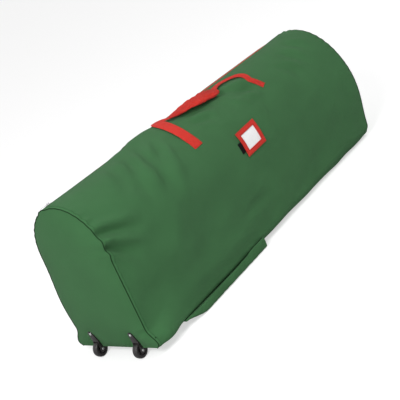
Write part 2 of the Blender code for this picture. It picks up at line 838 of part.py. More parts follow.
def rivet_axis(side):
    """A point on the tongue's back face and the direction out of it, for the upper rivet."""
    low, high = tongue_line()
    share = 1.0 - RIVET_DROP / (high[1] - low[1])
    point = Vector((mix(low[0], high[0], share), wheel_centre(side).y, mix(low[1], high[1], share)))
    slope = Vector((high[0] - low[0], 0.0, high[1] - low[1])).normalized()
    return point, Vector((-slope.z, 0.0, slope.x))


def rivet_hole(side):
    point, out = rivet_axis(side)
    reach = 4.0 * (TONGUE_THICK + CLOTH)
    radius = RIVET_RADIUS + RIVET_CLEAR
    bm = bmesh.new()
    turned(bm, [(0.0, -reach), (radius, -reach), (radius, reach), (0.0, reach)], point, out, RIVET_FACETS)
    return cutter(bracket_name(side) + "_rivet_hole", bm)


def tongue_trim(side):
    """Cuts the tongue's edges to a taper with a rounded top."""
    centre = wheel_centre(side)
    low, high = tongue_line()
    wide = bracket_half_wide() + NOTCH_CLEAR
    reach = 2.0 * wide
    top = high[1] - centre.z
    foot = low[1] - centre.z
    nose = TONGUE_NOSE_HALF
    outline = [(wide, foot)]
    outline += list(arc((0.0, top - nose), nose, 20.0, 160.0, 12))
    outline += [(-wide, foot), (-reach, foot), (-reach, top + wide), (reach, top + wide), (reach, foot)]
    bm = bmesh.new()
    prism(bm, outline, (START_X - 2.0 * DOME_WHEEL, centre.y, centre.z), (0, 1, 0), (0, 0, 1),
          (4.0 * DOME_WHEEL, 0, 0))
    return cutter(bracket_name(side) + "_trim", bm)


def rivet(side, name, finish):
    """The tongue's rivet, with its washer inside the end panel."""
    point, out = rivet_axis(side)
    low = -CLOTH - 4.0 * GAP - WASHER_THICK
    head = TONGUE_THICK * out.x * -1.0 + GAP
    bm = bmesh.new()
    turned(bm, [(0.0, low - RIVET_DOME), (0.8 * RIVET_HEAD, low - RIVET_DOME), (RIVET_HEAD, low - GAP),
                (RIVET_RADIUS, low - GAP), (RIVET_RADIUS, head), (RIVET_HEAD, head),
                (0.8 * RIVET_HEAD, head + 0.7 * RIVET_DOME), (0.4 * RIVET_HEAD, head + RIVET_DOME),
                (0.0, head + RIVET_DOME)], point, out, RIVET_FACETS)
    place("bracket_rivet_" + name, bm, finish, True)
    bm = bmesh.new()
    bore = RIVET_RADIUS + RIVET_CLEAR
    turned(bm, [(bore, low), (WASHER_RADIUS, low), (WASHER_RADIUS, low + WASHER_THICK),
                (bore, low + WASHER_THICK)], point, out, RIVET_FACETS)
    place("rivet_washer_" + name, bm, finish, True)


def wheel(side, name, finish_tyre, finish_hub, finish_axle):
    """A small luggage wheel: a tyre on a spoked hub, turning on a headed axle."""
    centre = wheel_centre(side)
    half = 0.5 * WHEEL_WIDE
    seat = WHEEL_RADIUS - TYRE_THICK
    shoulder = WHEEL_RADIUS - TYRE_CROWN
    bm = bmesh.new()
    turned(bm, [(seat, -half), (shoulder, -half), (WHEEL_RADIUS, -0.45 * half),
                (WHEEL_RADIUS, 0.45 * half), (shoulder, half), (seat, half)], centre, (0, 1, 0))
    tyre = place("wheel_tyre_" + name, bm, finish_tyre, True)
    rim = seat - GAP
    rim_in = rim - HUB_RIM_THICK
    web = 0.5 * HUB_WEB
    bm = bmesh.new()
    turned(bm, [(HUB_BORE, -half), (HUB_BOSS, -half), (HUB_BOSS, -web), (rim_in, -web),
                (rim_in, -half), (rim, -half), (rim, half), (rim_in, half), (rim_in, web),
                (HUB_BOSS, web), (HUB_BOSS, half), (HUB_BORE, half)], centre, (0, 1, 0))
    hub = place("wheel_hub_" + name, bm, finish_hub, True)
    overrun = 0.3 * HUB_RIM_THICK
    spoke_half = half - WHEEL_SIDE_CLEAR
    for k in range(HUB_SPOKES):
        turn = 2.0 * math.pi * k / HUB_SPOKES
        arm = Vector((math.cos(turn), 0.0, math.sin(turn)))
        square = Vector((-math.sin(turn), 0.0, math.cos(turn)))
        bm = bmesh.new()
        outline = box_outline(HUB_BOSS - overrun, rim_in + overrun, -0.5 * SPOKE_THICK, 0.5 * SPOKE_THICK)
        prism(bm, outline, centre - Vector((0, spoke_half, 0)), arm, square, (0, 2 * spoke_half, 0))
        join(hub, cutter("spoke_%s_%d" % (name, k), bm))
    reach = bracket_half_wide() + GAP
    head = AXLE_HEAD_THICK
    bm = bmesh.new()
    turned(bm, [(0.0, -reach - head), (0.7 * AXLE_HEAD_RADIUS, -reach - head),
                (AXLE_HEAD_RADIUS, -reach - 0.4 * head), (AXLE_HEAD_RADIUS, -reach),
                (AXLE_RADIUS, -reach), (AXLE_RADIUS, reach), (AXLE_HEAD_RADIUS, reach),
                (AXLE_HEAD_RADIUS, reach + 0.4 * head), (0.7 * AXLE_HEAD_RADIUS, reach + head),
                (0.0, reach + head)], centre, (0, 1, 0))
    place("wheel_axle_" + name, bm, finish_axle, True)
    hinge_at(tyre, centre)
    hinge_at(hub, centre)


def rounded_plate(start, end, half, corner, steps=4):
    """The plan outline of a plate with rounded corners, as distances and Y."""
    points = []
    for cx, cy, turn in ((end - corner, half - corner, 0.0), (start + corner, half - corner, 90.0),
                         (start + corner, corner - half, 180.0), (end - corner, corner - half, 270.0)):
        points += list(arc((cx, cy), corner, turn, turn + 90.0, steps))
    return points


def base_board(finish):
    """A stiff board on the bag's floor, which stops the wheel end folding."""
    bm = bmesh.new()
    plan = rounded_plate(BOARD_START, BOARD_END, BOARD_HALF, BOARD_CORNER)
    rings = []
    for height in (CLOTH + 2.0 * GAP, CLOTH + 2.0 * GAP + BOARD_THICK):
        rings.append([bm.verts.new((START_X + d, y, Section(d).bottom + height)) for d, y in plan])
    bm.faces.new(list(reversed(rings[0])))
    bm.faces.new(rings[1])
    for k in range(len(plan)):
        n = (k + 1) % len(plan)
        bm.faces.new((rings[0][k], rings[0][n], rings[1][n], rings[1][k]))
    return place("base_board", bm, finish)


def skid_loop(distance):
    """The skid's section: a padded tray that cups the bag's belly and lower corners."""
    section = Section(distance)
    lift = ease((SKID_LEVEL - distance) / (SKID_LEVEL - SKID_START))
    low = lift * (section.bottom - SKID_THIN)
    reach = math.acos(1.0 - (SKID_LIP_HEIGHT - section.bottom) / section.corner)
    radius = section.corner + GAP
    inner = [(section.floor_half + radius * math.sin(reach * k / 5.0),
              section.bottom + section.corner - radius * math.cos(reach * k / 5.0)) for k in range(6)]
    top = inner[-1][1]
    round_off = 0.3 * SKID_CORNER
    outer = [(SKID_HALF - round_off, top), (SKID_HALF, top - round_off), (SKID_HALF, low + SKID_CORNER),
             (SKID_HALF - 0.3 * SKID_CORNER, low + 0.3 * SKID_CORNER), (SKID_HALF - SKID_CORNER, low)]
    half = inner + outer
    return half + [(-y, z) for y, z in reversed(half)]


def loft(bm, loops):
    """Closed loops of equal count joined in order, with both ends filled."""
    rings = [[bm.verts.new(point) for point in loop] for loop in loops]
    for a, b in zip(rings, rings[1:]):
        for k in range(len(a)):
            n = (k + 1) % len(a)
            bm.faces.new((a[k], a[n], b[n], b[k]))
    bm.faces.new(list(reversed(rings[0])))
    bm.faces.new(rings[-1])


def skid(finish):
    """The padded skid sewn under the belly, which stands on the floor at its far half."""
    bm = bmesh.new()
    loft(bm, [[(START_X + d, y, z) for y, z in skid_loop(d)]
              for d in stations(SKID_START, SKID_END, START_STEP)])
    return place("skid_pad", bm, finish)


def ribbon_row(centreline, k, places, lean=None):
    """Points across a ribbon at its k-th centre point; places are (offset across, extra lift).

    A row is square to the ribbon, unless lean gives its climb over its run along the bag.
    """
    distance, angle, lift = centreline[k]
    before = centreline[max(0, k - 1)]
    after = centreline[min(len(centreline) - 1, k + 1)]
    section = Section(distance)
    run = after[0] - before[0]
    climb = (after[1] - before[1]) / section.turn_for(1.0, angle)
    if lean is not None:
        climb = math.copysign(1.0, climb)
        run = -lean * climb
    length = math.hypot(run, climb)
    row = []
    for offset, extra in places:
        at = Section(distance + offset * climb / length)
        turn = section.turn_for(-offset * run / length, angle)
        y, z = at.arch(angle + turn, lift + extra)
        row.append((at.x, y, z))
    return row


def ribbon(name, centreline, finish, lean, leaning=(0, -1), columns=4):
    """Webbing laid on the bag along points of (distance, arch angle, lift); some rows lean."""
    places = [(mix(-STRAP_HALF, STRAP_HALF, column / columns), 0.0) for column in range(columns + 1)]
    count = len(centreline)
    tilted = [k % count for k in leaning]
    rows = [ribbon_row(centreline, k, places, lean if k in tilted else None) for k in range(count)]
    return sheet(name, rows, finish, thickness=STRAP_THICK, outward=1.0)


def smooth_path(points, step):
    """A Catmull-Rom curve through hand-placed points, read off at about even steps."""
    pts = [np.array(p, float) for p in points]
    pts = [2 * pts[0] - pts[1]] + pts + [2 * pts[-1] - pts[-2]]
    dense = []
    for a, b, c, d in zip(pts, pts[1:], pts[2:], pts[3:]):
        for k in range(24):
            t = k / 24.0
            dense.append(0.5 * (2 * b + (c - a) * t + (2 * a - 5 * b + 4 * c - d) * t * t
                                + (3 * b - a - 3 * c + d) * t ** 3))
    dense.append(pts[-2])
    dense = np.array(dense)
    scale = np.array([1.0, WALL_HALF_BODY, 1.0])
    run = np.concatenate([[0.0], np.cumsum(np.linalg.norm(np.diff(dense * scale, axis=0), axis=1))])
    marks = np.linspace(0.0, run[-1], max(2, round(run[-1] / step)) + 1)
    return [tuple(float(np.interp(m, run, dense[:, i])) for i in range(3)) for m in marks]


def patch_path(distance, angle, side):
    """A sewn-down strap end, from its tip towards the crown."""
    section = Section(distance)
    turn = section.turn_for(PATCH_LONG, angle)
    steps = 4
    return [(distance, angle - side * turn * k / steps, STRAP_LIFT) for k in range(steps + 1)]


def handle_places(side):
    """Where a handle's two sewn ends begin: distances and angles on the arch, in degrees."""
    if side < 0:
        return (HANDLE_A, NEAR_PATCH_ANGLE_A), (HANDLE_B, NEAR_PATCH_ANGLE_B)
    return (HANDLE_A, FAR_PATCH_ANGLE), (HANDLE_B, FAR_PATCH_ANGLE)


def patch_top(distance, degrees, side):
    """Where a handle leaves its sewn end."""
    angle = math.radians(degrees)
    return angle - side * Section(distance).turn_for(PATCH_LONG + PATCH_GAP, angle)


def handle_lean(side):
    """The slope, along the cloth, of the line that a handle folds on."""
    (d0, angle0), (d1, angle1) = handle_places(side)
    rise = patch_top(d1, angle1, side) - patch_top(d0, angle0, side)
    middle = Section(0.5 * (d0 + d1))
    return rise / middle.turn_for(1.0, patch_top(middle.distance, 0.5 * (angle0 + angle1), side)) / (d1 - d0)


def handle_patches(side, name, finish):
    """The two ends of a handle, sewn flat to the flap."""
    for (distance, degrees), mark in zip(handle_places(side), "ab"):
        path = patch_path(distance, math.radians(degrees), side)
        ribbon("handle_end_%s_%s" % (name, mark), path, finish, handle_lean(side), range(len(path)))


def near_handle_path():
    """The near handle as it lies: up over the crown, along it, and down to its second end."""
    a = patch_top(HANDLE_A, NEAR_PATCH_ANGLE_A, -1)
    b = patch_top(HANDLE_B, NEAR_PATCH_ANGLE_B, -1)
    crown = math.radians(90.0)
    low = math.radians(77.0)
    high = STRAP_LIFT + STRAP_RISE
    corner = 1.25 * STRAP_HALF
    return smooth_path([
        (HANDLE_A, a, STRAP_LIFT), (HANDLE_A, mix(a, crown, 0.30), mix(STRAP_LIFT, high, 0.2)),
        (HANDLE_A, mix(a, crown, 0.62), mix(STRAP_LIFT, high, 0.5)),
        (HANDLE_A + 0.45 * corner, mix(a, crown, 0.90), mix(STRAP_LIFT, high, 0.8)),
        (HANDLE_A + 1.6 * corner, crown, high),
        (GRIP_START, mix(crown, low, 0.3), high), (GRIP_END, mix(crown, low, 0.9), high),
        (HANDLE_B - 2.2 * corner, low, mix(STRAP_LIFT, high, 0.8)),
        (HANDLE_B - 0.55 * corner, mix(b, low, 0.80), mix(STRAP_LIFT, high, 0.5)),
        (HANDLE_B, mix(b, low, 0.40), mix(STRAP_LIFT, high, 0.2)),
        (HANDLE_B, mix(b, low, 0.15), mix(STRAP_LIFT, high, 0.05)), (HANDLE_B, b, STRAP_LIFT)], STRAP_STEP)


def far_handle_path():
    """The far handle, laid along the far flap below the zip."""
    a = patch_top(HANDLE_A, FAR_PATCH_ANGLE, 1)
    b = patch_top(HANDLE_B, FAR_PATCH_ANGLE, 1)
    top = math.radians(119.0)
    high = STRAP_LIFT + 0.6 * STRAP_RISE
    corner = 1.25 * STRAP_HALF
    half = [(HANDLE_A, a, STRAP_LIFT), (HANDLE_A, mix(a, top, 0.15), mix(STRAP_LIFT, high, 0.1)),
            (HANDLE_A, mix(a, top, 0.4), mix(STRAP_LIFT, high, 0.3)),
            (HANDLE_A + 0.5 * corner, mix(a, top, 0.85), mix(STRAP_LIFT, high, 0.7)),
            (HANDLE_A + 1.9 * corner, top, high)]
    other = [(HANDLE_A + HANDLE_B - d, angle, lift) for d, angle, lift in reversed(half)]
    other[-1] = (HANDLE_B, b, STRAP_LIFT)
    other[-2] = (HANDLE_B, mix(b, top, 0.15), mix(STRAP_LIFT, high, 0.1))
    return smooth_path(half + [(0.5 * (HANDLE_A + HANDLE_B), top, high)] + other, STRAP_STEP)


def handle_hinge(side):
    """Two points on a handle's hinge line, inside the webbing where it leaves its sewn ends."""
    ends = []
    for distance, degrees in handle_places(side):
        section = Section(distance)
        y, z = section.arch(patch_top(distance, degrees, side), STRAP_LIFT + 0.5 * STRAP_THICK)
        ends.append((section.x, y, z))
    return ends


def grip_wrap(path, finish):
    """A padded wrap closed round the middle of the near handle, open at both ends."""
    held = [k for k, point in enumerate(path) if GRIP_START <= point[0] <= GRIP_END]
    clear = GRIP_SLOT_CLEAR
    slot_long = STRAP_HALF + clear
    slot_low = -clear
    slot_high = STRAP_THICK + clear
    wide_steps = 5
    high_steps = 2
    bm = bmesh.new()
    grids = ([], [])
    for k in held:
        share = (k - held[0]) / (held[-1] - held[0])
        swell = GRIP_WALL * mix(0.8, 1.6, math.sin(math.pi * share))
        slot = []
        for step in range(wide_steps):
            slot.append((mix(-slot_long, slot_long, step / wide_steps), slot_low))
        for step in range(high_steps):
            slot.append((slot_long, mix(slot_low, slot_high, step / high_steps)))
        for step in range(wide_steps):
            slot.append((mix(slot_long, -slot_long, step / wide_steps), slot_high))
        for step in range(high_steps):
            slot.append((-slot_long, mix(slot_high, slot_low, step / high_steps)))
        middle = 0.5 * (slot_low + slot_high)
        skin = []
        for a, b in slot:
            turn = math.atan2((b - middle) / (slot_high - middle), a / slot_long)
            skin.append(((slot_long + swell) * math.copysign(abs(math.cos(turn)) ** 0.6, a),
                         middle + (slot_high - middle + swell * 1.4)
                         * math.copysign(abs(math.sin(turn)) ** 0.7, b - middle)))
        for grid, places in zip(grids, (slot, skin)):
            grid.append([bm.verts.new(point) for point in ribbon_row(path, k, places)])
    count = 2 * (wide_steps + high_steps)
    for grid in grids:
        for a, b in zip(grid, grid[1:]):
            for k in range(count):
                n = (k + 1) % count
                bm.faces.new((a[k], a[n], b[n], b[k]))
    for end in (0, -1):
        for k in range(count):
            n = (k + 1) % count
            bm.faces.new((grids[0][end][k], grids[0][end][n], grids[1][end][n], grids[1][end][k]))
    return place("handle_grip_wrap", bm, finish)


class HolderCurve:
    """The card holder's upright curve: the cloth's section at its middle, by length from its foot."""

    def __init__(self):
        section = Section(HOLDER_MIDDLE)
        self.pts = np.array([section.arch(math.radians(HOLDER_LOW_ANGLE + 3.0 * step)) for step in range(13)])
        self.run = np.concatenate([[0.0], np.cumsum(np.linalg.norm(np.diff(self.pts, axis=0), axis=1))])

    def at(self, length, lift):
        y = float(np.interp(length, self.run, self.pts[:, 0]))
        z = float(np.interp(length, self.run, self.pts[:, 1]))
        ahead = length + HOLDER_BORDER
        dy = float(np.interp(ahead, self.run, self.pts[:, 0])) - y
        dz = float(np.interp(ahead, self.run, self.pts[:, 1])) - z
        size = math.hypot(dy, dz)
        return y - lift * dz / size, z + lift * dy / size


def curved_slab(bm, curve, x0, x1, s0, s1, lift0, lift1, steps=5):
    """A slab that follows the holder's curve, between two lengths and two lifts."""
    lows = [curve.at(mix(s0, s1, k / steps), lift0) for k in range(steps + 1)]
    highs = [curve.at(mix(s0, s1, k / steps), lift1) for k in range(steps + 1)]
    loop = lows + list(reversed(highs))
    loft(bm, [[(x, y, z) for y, z in loop] for x in (x0, x1)])


def card_holder(finish_frame, finish_window, finish_card, finish_tab):
    """A framed pocket sewn on three sides, with its clear window and the card that slides out."""
    curve = HolderCurve()
    middle = START_X + HOLDER_MIDDLE
    left = middle - HOLDER_HALF_LONG
    right = middle + HOLDER_HALF_LONG
    back = HOLDER_LIFT
    front = back + POCKET_DEEP
    border = HOLDER_BORDER
    bm = bmesh.new()
    curved_slab(bm, curve, left, right, 0.0, HOLDER_TALL, back, front)
    frame = place("card_holder_frame", bm, finish_frame)
    card_low = 0.5 * (HOLDER_TALL - CARD_TALL)
    pocket_low = card_low - POCKET_CLEAR
    pocket_high = HOLDER_TALL - pocket_low
    card_left = middle - CARD_HALF_LONG
    pocket_left = card_left - POCKET_CLEAR
    bm = bmesh.new()
    curved_slab(bm, curve, pocket_left, right + border, pocket_low, pocket_high,
                back - border, front - HOLDER_FACE)
    cut(frame, cutter("card_pocket", bm))
    bm = bmesh.new()
    curved_slab(bm, curve, left + border, right - border, border, HOLDER_TALL - border,
                back, front + border)
    cut(frame, cutter("card_window_hole", bm))
    face = front - HOLDER_FACE - GAP
    bm = bmesh.new()
    curved_slab(bm, curve, card_left, right - GAP, card_low, HOLDER_TALL - card_low,
                face - WINDOW_THICK, face)
    place("card_holder_window", bm, finish_window)
    card_face = face - WINDOW_THICK - GAP
    bm = bmesh.new()
    curved_slab(bm, curve, card_left, middle + CARD_HALF_LONG, card_low, HOLDER_TALL - card_low,
                card_face - CARD_THICK, card_face)
    card = place("name_card", bm, finish_card)
    hinge_at(card, (card_left, 0.0, 0.0))
    bm = bmesh.new()
    tab_low = 0.42 * (HOLDER_TALL - TAB_LONG)
    curved_slab(bm, curve, left - TAB_OUT, left - GAP, tab_low, tab_low + TAB_LONG,
                back, back + TAB_THICK)
    place("black_tab", bm, finish_tab)


def build():
    clear_scene()
    cloth = material("green polyester", GREEN, 0.85)
    webbing = material("red webbing", RED, 0.80)
    tape = material("red zip tape", RED, 0.75)
    coil = material("red zip coil", RED, 0.45)
    metal = material("nickel plate", STEEL, 0.30, 1.0)
    moulded = material("black moulding", BLACK, 0.30)
    tread = material("black tyre", BLACK, 0.40)
    black_cloth = material("black tape", BLACK, 0.80)
    for side in (-1, 1):
        bracket_notch(side)
    side_panel("side_panel_near", -1, cloth)
    side_panel("side_panel_far", 1, cloth)
    mouth_flap("mouth_flap_near", -1, cloth)
    mouth_flap("mouth_flap_far", 1, cloth)
    floor_panel(cloth)
    wheel_end = end_panel("end_panel_wheels", 0.0, -1, DOME_WHEEL, cloth)
    end_panel("end_panel_far", BAG_LENGTH, 1, DOME_FAR, cloth)
    seam_binding("seam_binding_wheels", 0.0, -1, black_cloth)
    seam_binding("seam_binding_far", BAG_LENGTH, 1, black_cloth)
    zip_half(-1, "near", tape, coil, flap_hinge(-1)[0])
    zip_half(1, "far", tape, coil, flap_hinge(1)[0])
    far_end = BAG_LENGTH - END_MARGIN
    zip_end("zipper_end_wheels", END_MARGIN, MOUTH_START - ZIP_END_CLEAR, END_MARGIN, tape)
    zip_end("zipper_end_far", MOUTH_END + ZIP_END_CLEAR, far_end, far_end - STOP_LENGTH, tape)
    slider(metal)
    pull_tab(metal)
    base_board(material("hardboard", BOARD, 0.7))
    skid(cloth)
    for side, name in ((-1, "near"), (1, "far")):
        bracket(side, moulded)
        rivet(side, name, metal)
        wheel(side, name, tread, moulded, metal)
        cut(wheel_end, bpy.data.objects[bracket_name(side) + "_notch"])
        cut(wheel_end, bpy.data.objects[bracket_name(side) + "_rivet_hole"])
    handle_patches(-1, "near", webbing)
    handle_patches(1, "far", webbing)
    near_path = near_handle_path()
    near = ribbon("handle_strap_near", near_path, webbing, handle_lean(-1))
    far = ribbon("handle_strap_far", far_handle_path(), webbing, handle_lean(1))
    grip = grip_wrap(near_path, webbing)
    hinge_at(near, handle_hinge(-1)[0])
    hinge_at(grip, handle_hinge(-1)[0])
    hinge_at(far, handle_hinge(1)[0])
    card_holder(webbing, material("clear vinyl", CLEAR, 0.1), material("white card", WHITE, 0.6),
                black_cloth)


build()
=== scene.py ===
import math

import bpy
import numpy as np
from bpy.props import FloatProperty, FloatVectorProperty, PointerProperty
from mathutils import Matrix, Vector, noise


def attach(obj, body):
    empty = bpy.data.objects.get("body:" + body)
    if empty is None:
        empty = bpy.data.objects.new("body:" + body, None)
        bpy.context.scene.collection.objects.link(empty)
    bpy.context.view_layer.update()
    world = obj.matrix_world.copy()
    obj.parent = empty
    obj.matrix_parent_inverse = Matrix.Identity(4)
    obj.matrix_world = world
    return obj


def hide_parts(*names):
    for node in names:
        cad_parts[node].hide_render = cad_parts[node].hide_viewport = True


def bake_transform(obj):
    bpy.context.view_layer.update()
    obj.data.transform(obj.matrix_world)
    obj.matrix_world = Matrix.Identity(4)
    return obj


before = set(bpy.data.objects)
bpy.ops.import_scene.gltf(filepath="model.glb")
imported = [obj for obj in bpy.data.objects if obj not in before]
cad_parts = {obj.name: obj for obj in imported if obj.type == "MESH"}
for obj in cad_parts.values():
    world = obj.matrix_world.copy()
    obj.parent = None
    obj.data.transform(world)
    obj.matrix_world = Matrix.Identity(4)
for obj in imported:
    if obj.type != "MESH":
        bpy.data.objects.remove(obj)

bl_info = {
    "name": "Rolling Tree Storage Bag",
    "version": (1, 0, 0),
    "blender": (4, 5, 0),
    "location": "View3D > Sidebar > Tree Bag",
    "description": "Builds the cloth, webbing, zip, wheels and stage of a rolling tree storage bag",
    "category": "Object",
}


# Sizes and colours that a user would change

class BagShape(bpy.types.PropertyGroup):
    cloth: FloatProperty(name="Cloth", description="Thickness of the sewn cloth with its seam allowance",
                         default=0.002, subtype="DISTANCE", unit="LENGTH")
    grid: FloatProperty(name="Grid", description="Spacing of the cloth's points",
                        default=0.006, subtype="DISTANCE", unit="LENGTH")
    seam_dip: FloatProperty(name="Seam dip", description="How far the cloth is drawn in at an end seam",
                            default=0.0045, subtype="DISTANCE", unit="LENGTH")
    pucker: FloatProperty(name="Pucker", description="Height of the gathers along the end seams",
                          default=0.0036, subtype="DISTANCE", unit="LENGTH")
    webbing: FloatProperty(name="Webbing", description="Thickness of the handle webbing",
                           default=0.0016, subtype="DISTANCE", unit="LENGTH")
    thread: FloatProperty(name="Thread", description="Thickness of the sewing thread",
                          default=0.0010, subtype="DISTANCE", unit="LENGTH")
    stitch: FloatProperty(name="Stitch", description="Length of one stitch",
                          default=0.0034, subtype="DISTANCE", unit="LENGTH")


class BagColours(bpy.types.PropertyGroup):
    cloth: FloatVectorProperty(name="Cloth", description="Woven polyester of the body", size=4,
                               default=(0.056, 0.168, 0.064, 1.0), subtype="COLOR", min=0.0, max=1.0)
    webbing: FloatVectorProperty(name="Webbing", description="Handles, grip wrap and card frame", size=4,
                                 default=(0.740, 0.042, 0.029, 1.0), subtype="COLOR", min=0.0, max=1.0)
    black: FloatVectorProperty(name="Black", description="Moulded brackets and wheels", size=4,
                               default=(0.017, 0.014, 0.015, 1.0), subtype="COLOR", min=0.0, max=1.0)
    board: FloatVectorProperty(name="Board", description="Hardboard base", size=4,
                               default=(0.180, 0.100, 0.050, 1.0), subtype="COLOR", min=0.0, max=1.0)


# Sizes in metres; the solids' own are repeated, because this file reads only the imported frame

# The bag lies along X, and "distance" is counted from its wheel end seam at START_X
BAG_LENGTH = 1.370
START_X = -0.683
GAP = 0.0003
# The cloth's section: sizes at the wheel end and at the far end, and the runs over which they change
FOOT_HALF, FOOT_RUN = (0.177, 0.1685), 0.125
WALL_HALF, FILL_RUN = (0.1505, 0.1755), 0.306
FAR_BASE_HALF, FAR_WALL_HALF = 0.1765, 0.188
CORNER, FLARE_RISE = (0.016, 0.048), (0.052, 0.172)
BOTTOM_LIFT, TOUCH_DOWN = 0.032, 1.150
ARCH_RISE, ZIP_SIDE, ZIP_TOP = (0.176, 0.2345), (0.052, 0.068), (0.529, 0.446)
ROOT_DROP = (0.129, 0.061)
DOME_WHEEL, DOME_FAR = 0.034, 0.030
# The mouth and its zip
MOUTH_START, MOUTH_END = 0.130, 1.275
EDGE_FROM_ZIP = 0.010
ZIP_DEPTH, ZIP_INSET, ZIP_SPLIT = 0.0026, 0.012, 0.001
# The handles: where their ends are sewn on, and how far the near one's second end leans
HANDLE_A, HANDLE_B = 0.531, 0.964
LEAN_B = 0.020
STRAP_HALF = 0.0205
PATCH_LONG, PATCH_GAP = 0.046, 0.0030
GRIP_START, GRIP_END = 0.588, 0.792
# The card holder
HOLDER_MIDDLE = 0.739
HOLDER_HALF, HOLDER_TALL, HOLDER_BORDER = 0.0545, 0.0880, 0.0165
CARD_HALF, CARD_TALL = 0.040, 0.0640
# The wheels, and the room that their housings leave round them
WHEEL_RADIUS, WHEEL_HALF = 0.0265, 0.009
WHEEL_TRACK_HALF = 0.087
AXLE_X = START_X - 0.004
HUB_BORE, HUB_BOSS = 0.0031, 0.0070
TYRE_DEPTH = 0.0070
MOULDED_WALL = 0.0022
WHEEL_ROOM, WHEEL_SIDE_ROOM, NOTCH_ROOM = 0.0028, 0.0012, 0.0006
# The skid
SKID_START, SKID_END, SKID_HALF = 0.140, 0.604, 0.181
# The cord along an end seam, and the height of the middle of an end
SEAM_CORD = 0.0013
SEAM_MIDDLE = 0.27
# How much of the crown's rise the cloth's edge and the zip take up
CROWN_SHARE = 0.7


def mix(a, b, share):
    return a + (b - a) * share


def ease(share):
    share = np.clip(share, 0.0, 1.0)
    return share * share * (3.0 - 2.0 * share)


def bell(x, width, power=2):
    """A hump that is 1 at zero and fades over its width."""
    return np.exp(-(x / width) ** power)


def crease(x, shoulder):
    """A fold's profile, with the valley at zero and the cloth pushed up into a shoulder beside it."""
    return shoulder * bell(x - 1.9, 0.9) - bell(x, 1.0)


def run_along(points):
    """The length from the first point to each point."""
    return np.concatenate([[0.0], np.cumsum(np.linalg.norm(np.diff(points, axis=0), axis=1))])


def unit(vectors):
    """Vectors of one length, in the same directions."""
    return vectors / np.linalg.norm(vectors, axis=-1)[..., None]


def facing(vectors, towards):
    """Turns each vector round where it points against its partner in towards."""
    return vectors * np.sign(np.sum(towards * vectors, axis=1))[:, None]


def pairs_apart(spots):
    """A list of (place, direction) as one array of places and one of directions."""
    return tuple(np.array(part) for part in zip(*spots))


def opaque(colour, scale=1.0):
    """A colour made darker or lighter, with its alpha at 1."""
    return tuple(min(1.0, c * scale) for c in tuple(colour)[:3]) + (1.0,)


class Section:
    """The cloth's outline at one distance, or at many, from the wheel end seam."""

    def __init__(self, distance):
        d = np.asarray(distance, float)
        share = d / BAG_LENGTH
        self.d = d
        self.x = START_X + d
        foot = mix(*FOOT_HALF, ease(d / FOOT_RUN))
        self.base_half = mix(foot, FAR_BASE_HALF, ease(share))
        filled = mix(*WALL_HALF, ease(d / FILL_RUN))
        self.wall_half = mix(filled, FAR_WALL_HALF, ease(share))
        self.corner = mix(*CORNER, ease(share))
        self.flare_rise = mix(*FLARE_RISE, ease(d / FILL_RUN))
        self.bottom = BOTTOM_LIFT * np.maximum(0.0, 1.0 - d / TOUCH_DOWN)
        self.rise = mix(*ARCH_RISE, share)
        self.zip_side = mix(*ZIP_SIDE, share)
        self.zip_top = mix(*ZIP_TOP, share)
        self.zip_angle = np.arccos(-self.zip_side / self.wall_half)
        self.spring = self.zip_top - self.rise * np.sin(self.zip_angle)
        self.floor_half = self.base_half - self.corner

    def arch(self, angle, lift=0.0):
        """The crown's arch as (y, z) at an angle up from the near side, lifted off along its normal."""
        across = -np.cos(angle) / self.wall_half
        up = np.sin(angle) / self.rise
        size = np.hypot(across, up)
        y = -self.wall_half * np.cos(angle) + lift * across / size
        return y, self.spring + self.rise * np.sin(angle) + lift * up / size

    def turn_for(self, length, angle):
        """The change of angle that covers a length of the arch."""
        return length / np.hypot(self.wall_half * np.sin(angle), self.rise * np.cos(angle))

    def root_angle(self):
        """The angle at which an opened flap begins."""
        height = self.zip_top - mix(*ROOT_DROP, self.d / BAG_LENGTH)
        return np.arcsin((height - self.spring) / self.rise)

    def side_line(self, side):
        """One side as (y, z) points from the floor's edge to the zip, their run, and the arch's start."""
        low = self.bottom + self.corner
        turn = np.linspace(0.0, 0.5 * math.pi, 16)
        ys = [-self.floor_half - self.corner * np.sin(turn)]
        zs = [low - self.corner * np.cos(turn)]
        z = mix(low, self.spring, np.linspace(0.0, 1.0, 60)[1:])
        ys.append(mix(-self.base_half, -self.wall_half, ease((z - low) / self.flare_rise)))
        zs.append(z)
        edge = self.zip_angle + side * self.turn_for(EDGE_FROM_ZIP, self.zip_angle)
        y, z = self.arch(np.linspace(0.0, edge if side < 0 else math.pi - edge, 90)[1:])
        points = np.stack([np.concatenate(ys + [y]), np.concatenate(zs + [z])], axis=1)
        run = run_along(points)
        points[:, 0] *= -side
        return points, run, run[74]


# Making and finishing meshes

def only(made):
    """Selects one object alone, as the operators need."""
    bpy.ops.object.select_all(action="DESELECT")
    made.select_set(True)
    bpy.context.view_layer.objects.active = made


def named(name):
    """Names the newest object and its mesh."""
    made = bpy.context.object
    made.name = name
    made.data.name = name
    return made


def apply_modifiers(made):
    only(made)
    for change in list(made.modifiers):
        bpy.ops.object.modifier_apply(modifier=change.name)


def modify(made, name, kind, **settings):
    """Adds one modifier and applies it."""
    change = made.modifiers.new(name, kind)
    for key, value in settings.items():
        setattr(change, key, value)
    apply_modifiers(made)


def joined(name, parts):
    """Joins parts into the first of them."""
    only(parts[0])
    for part in parts:
        part.select_set(True)
    bpy.ops.object.join()
    return named(name)


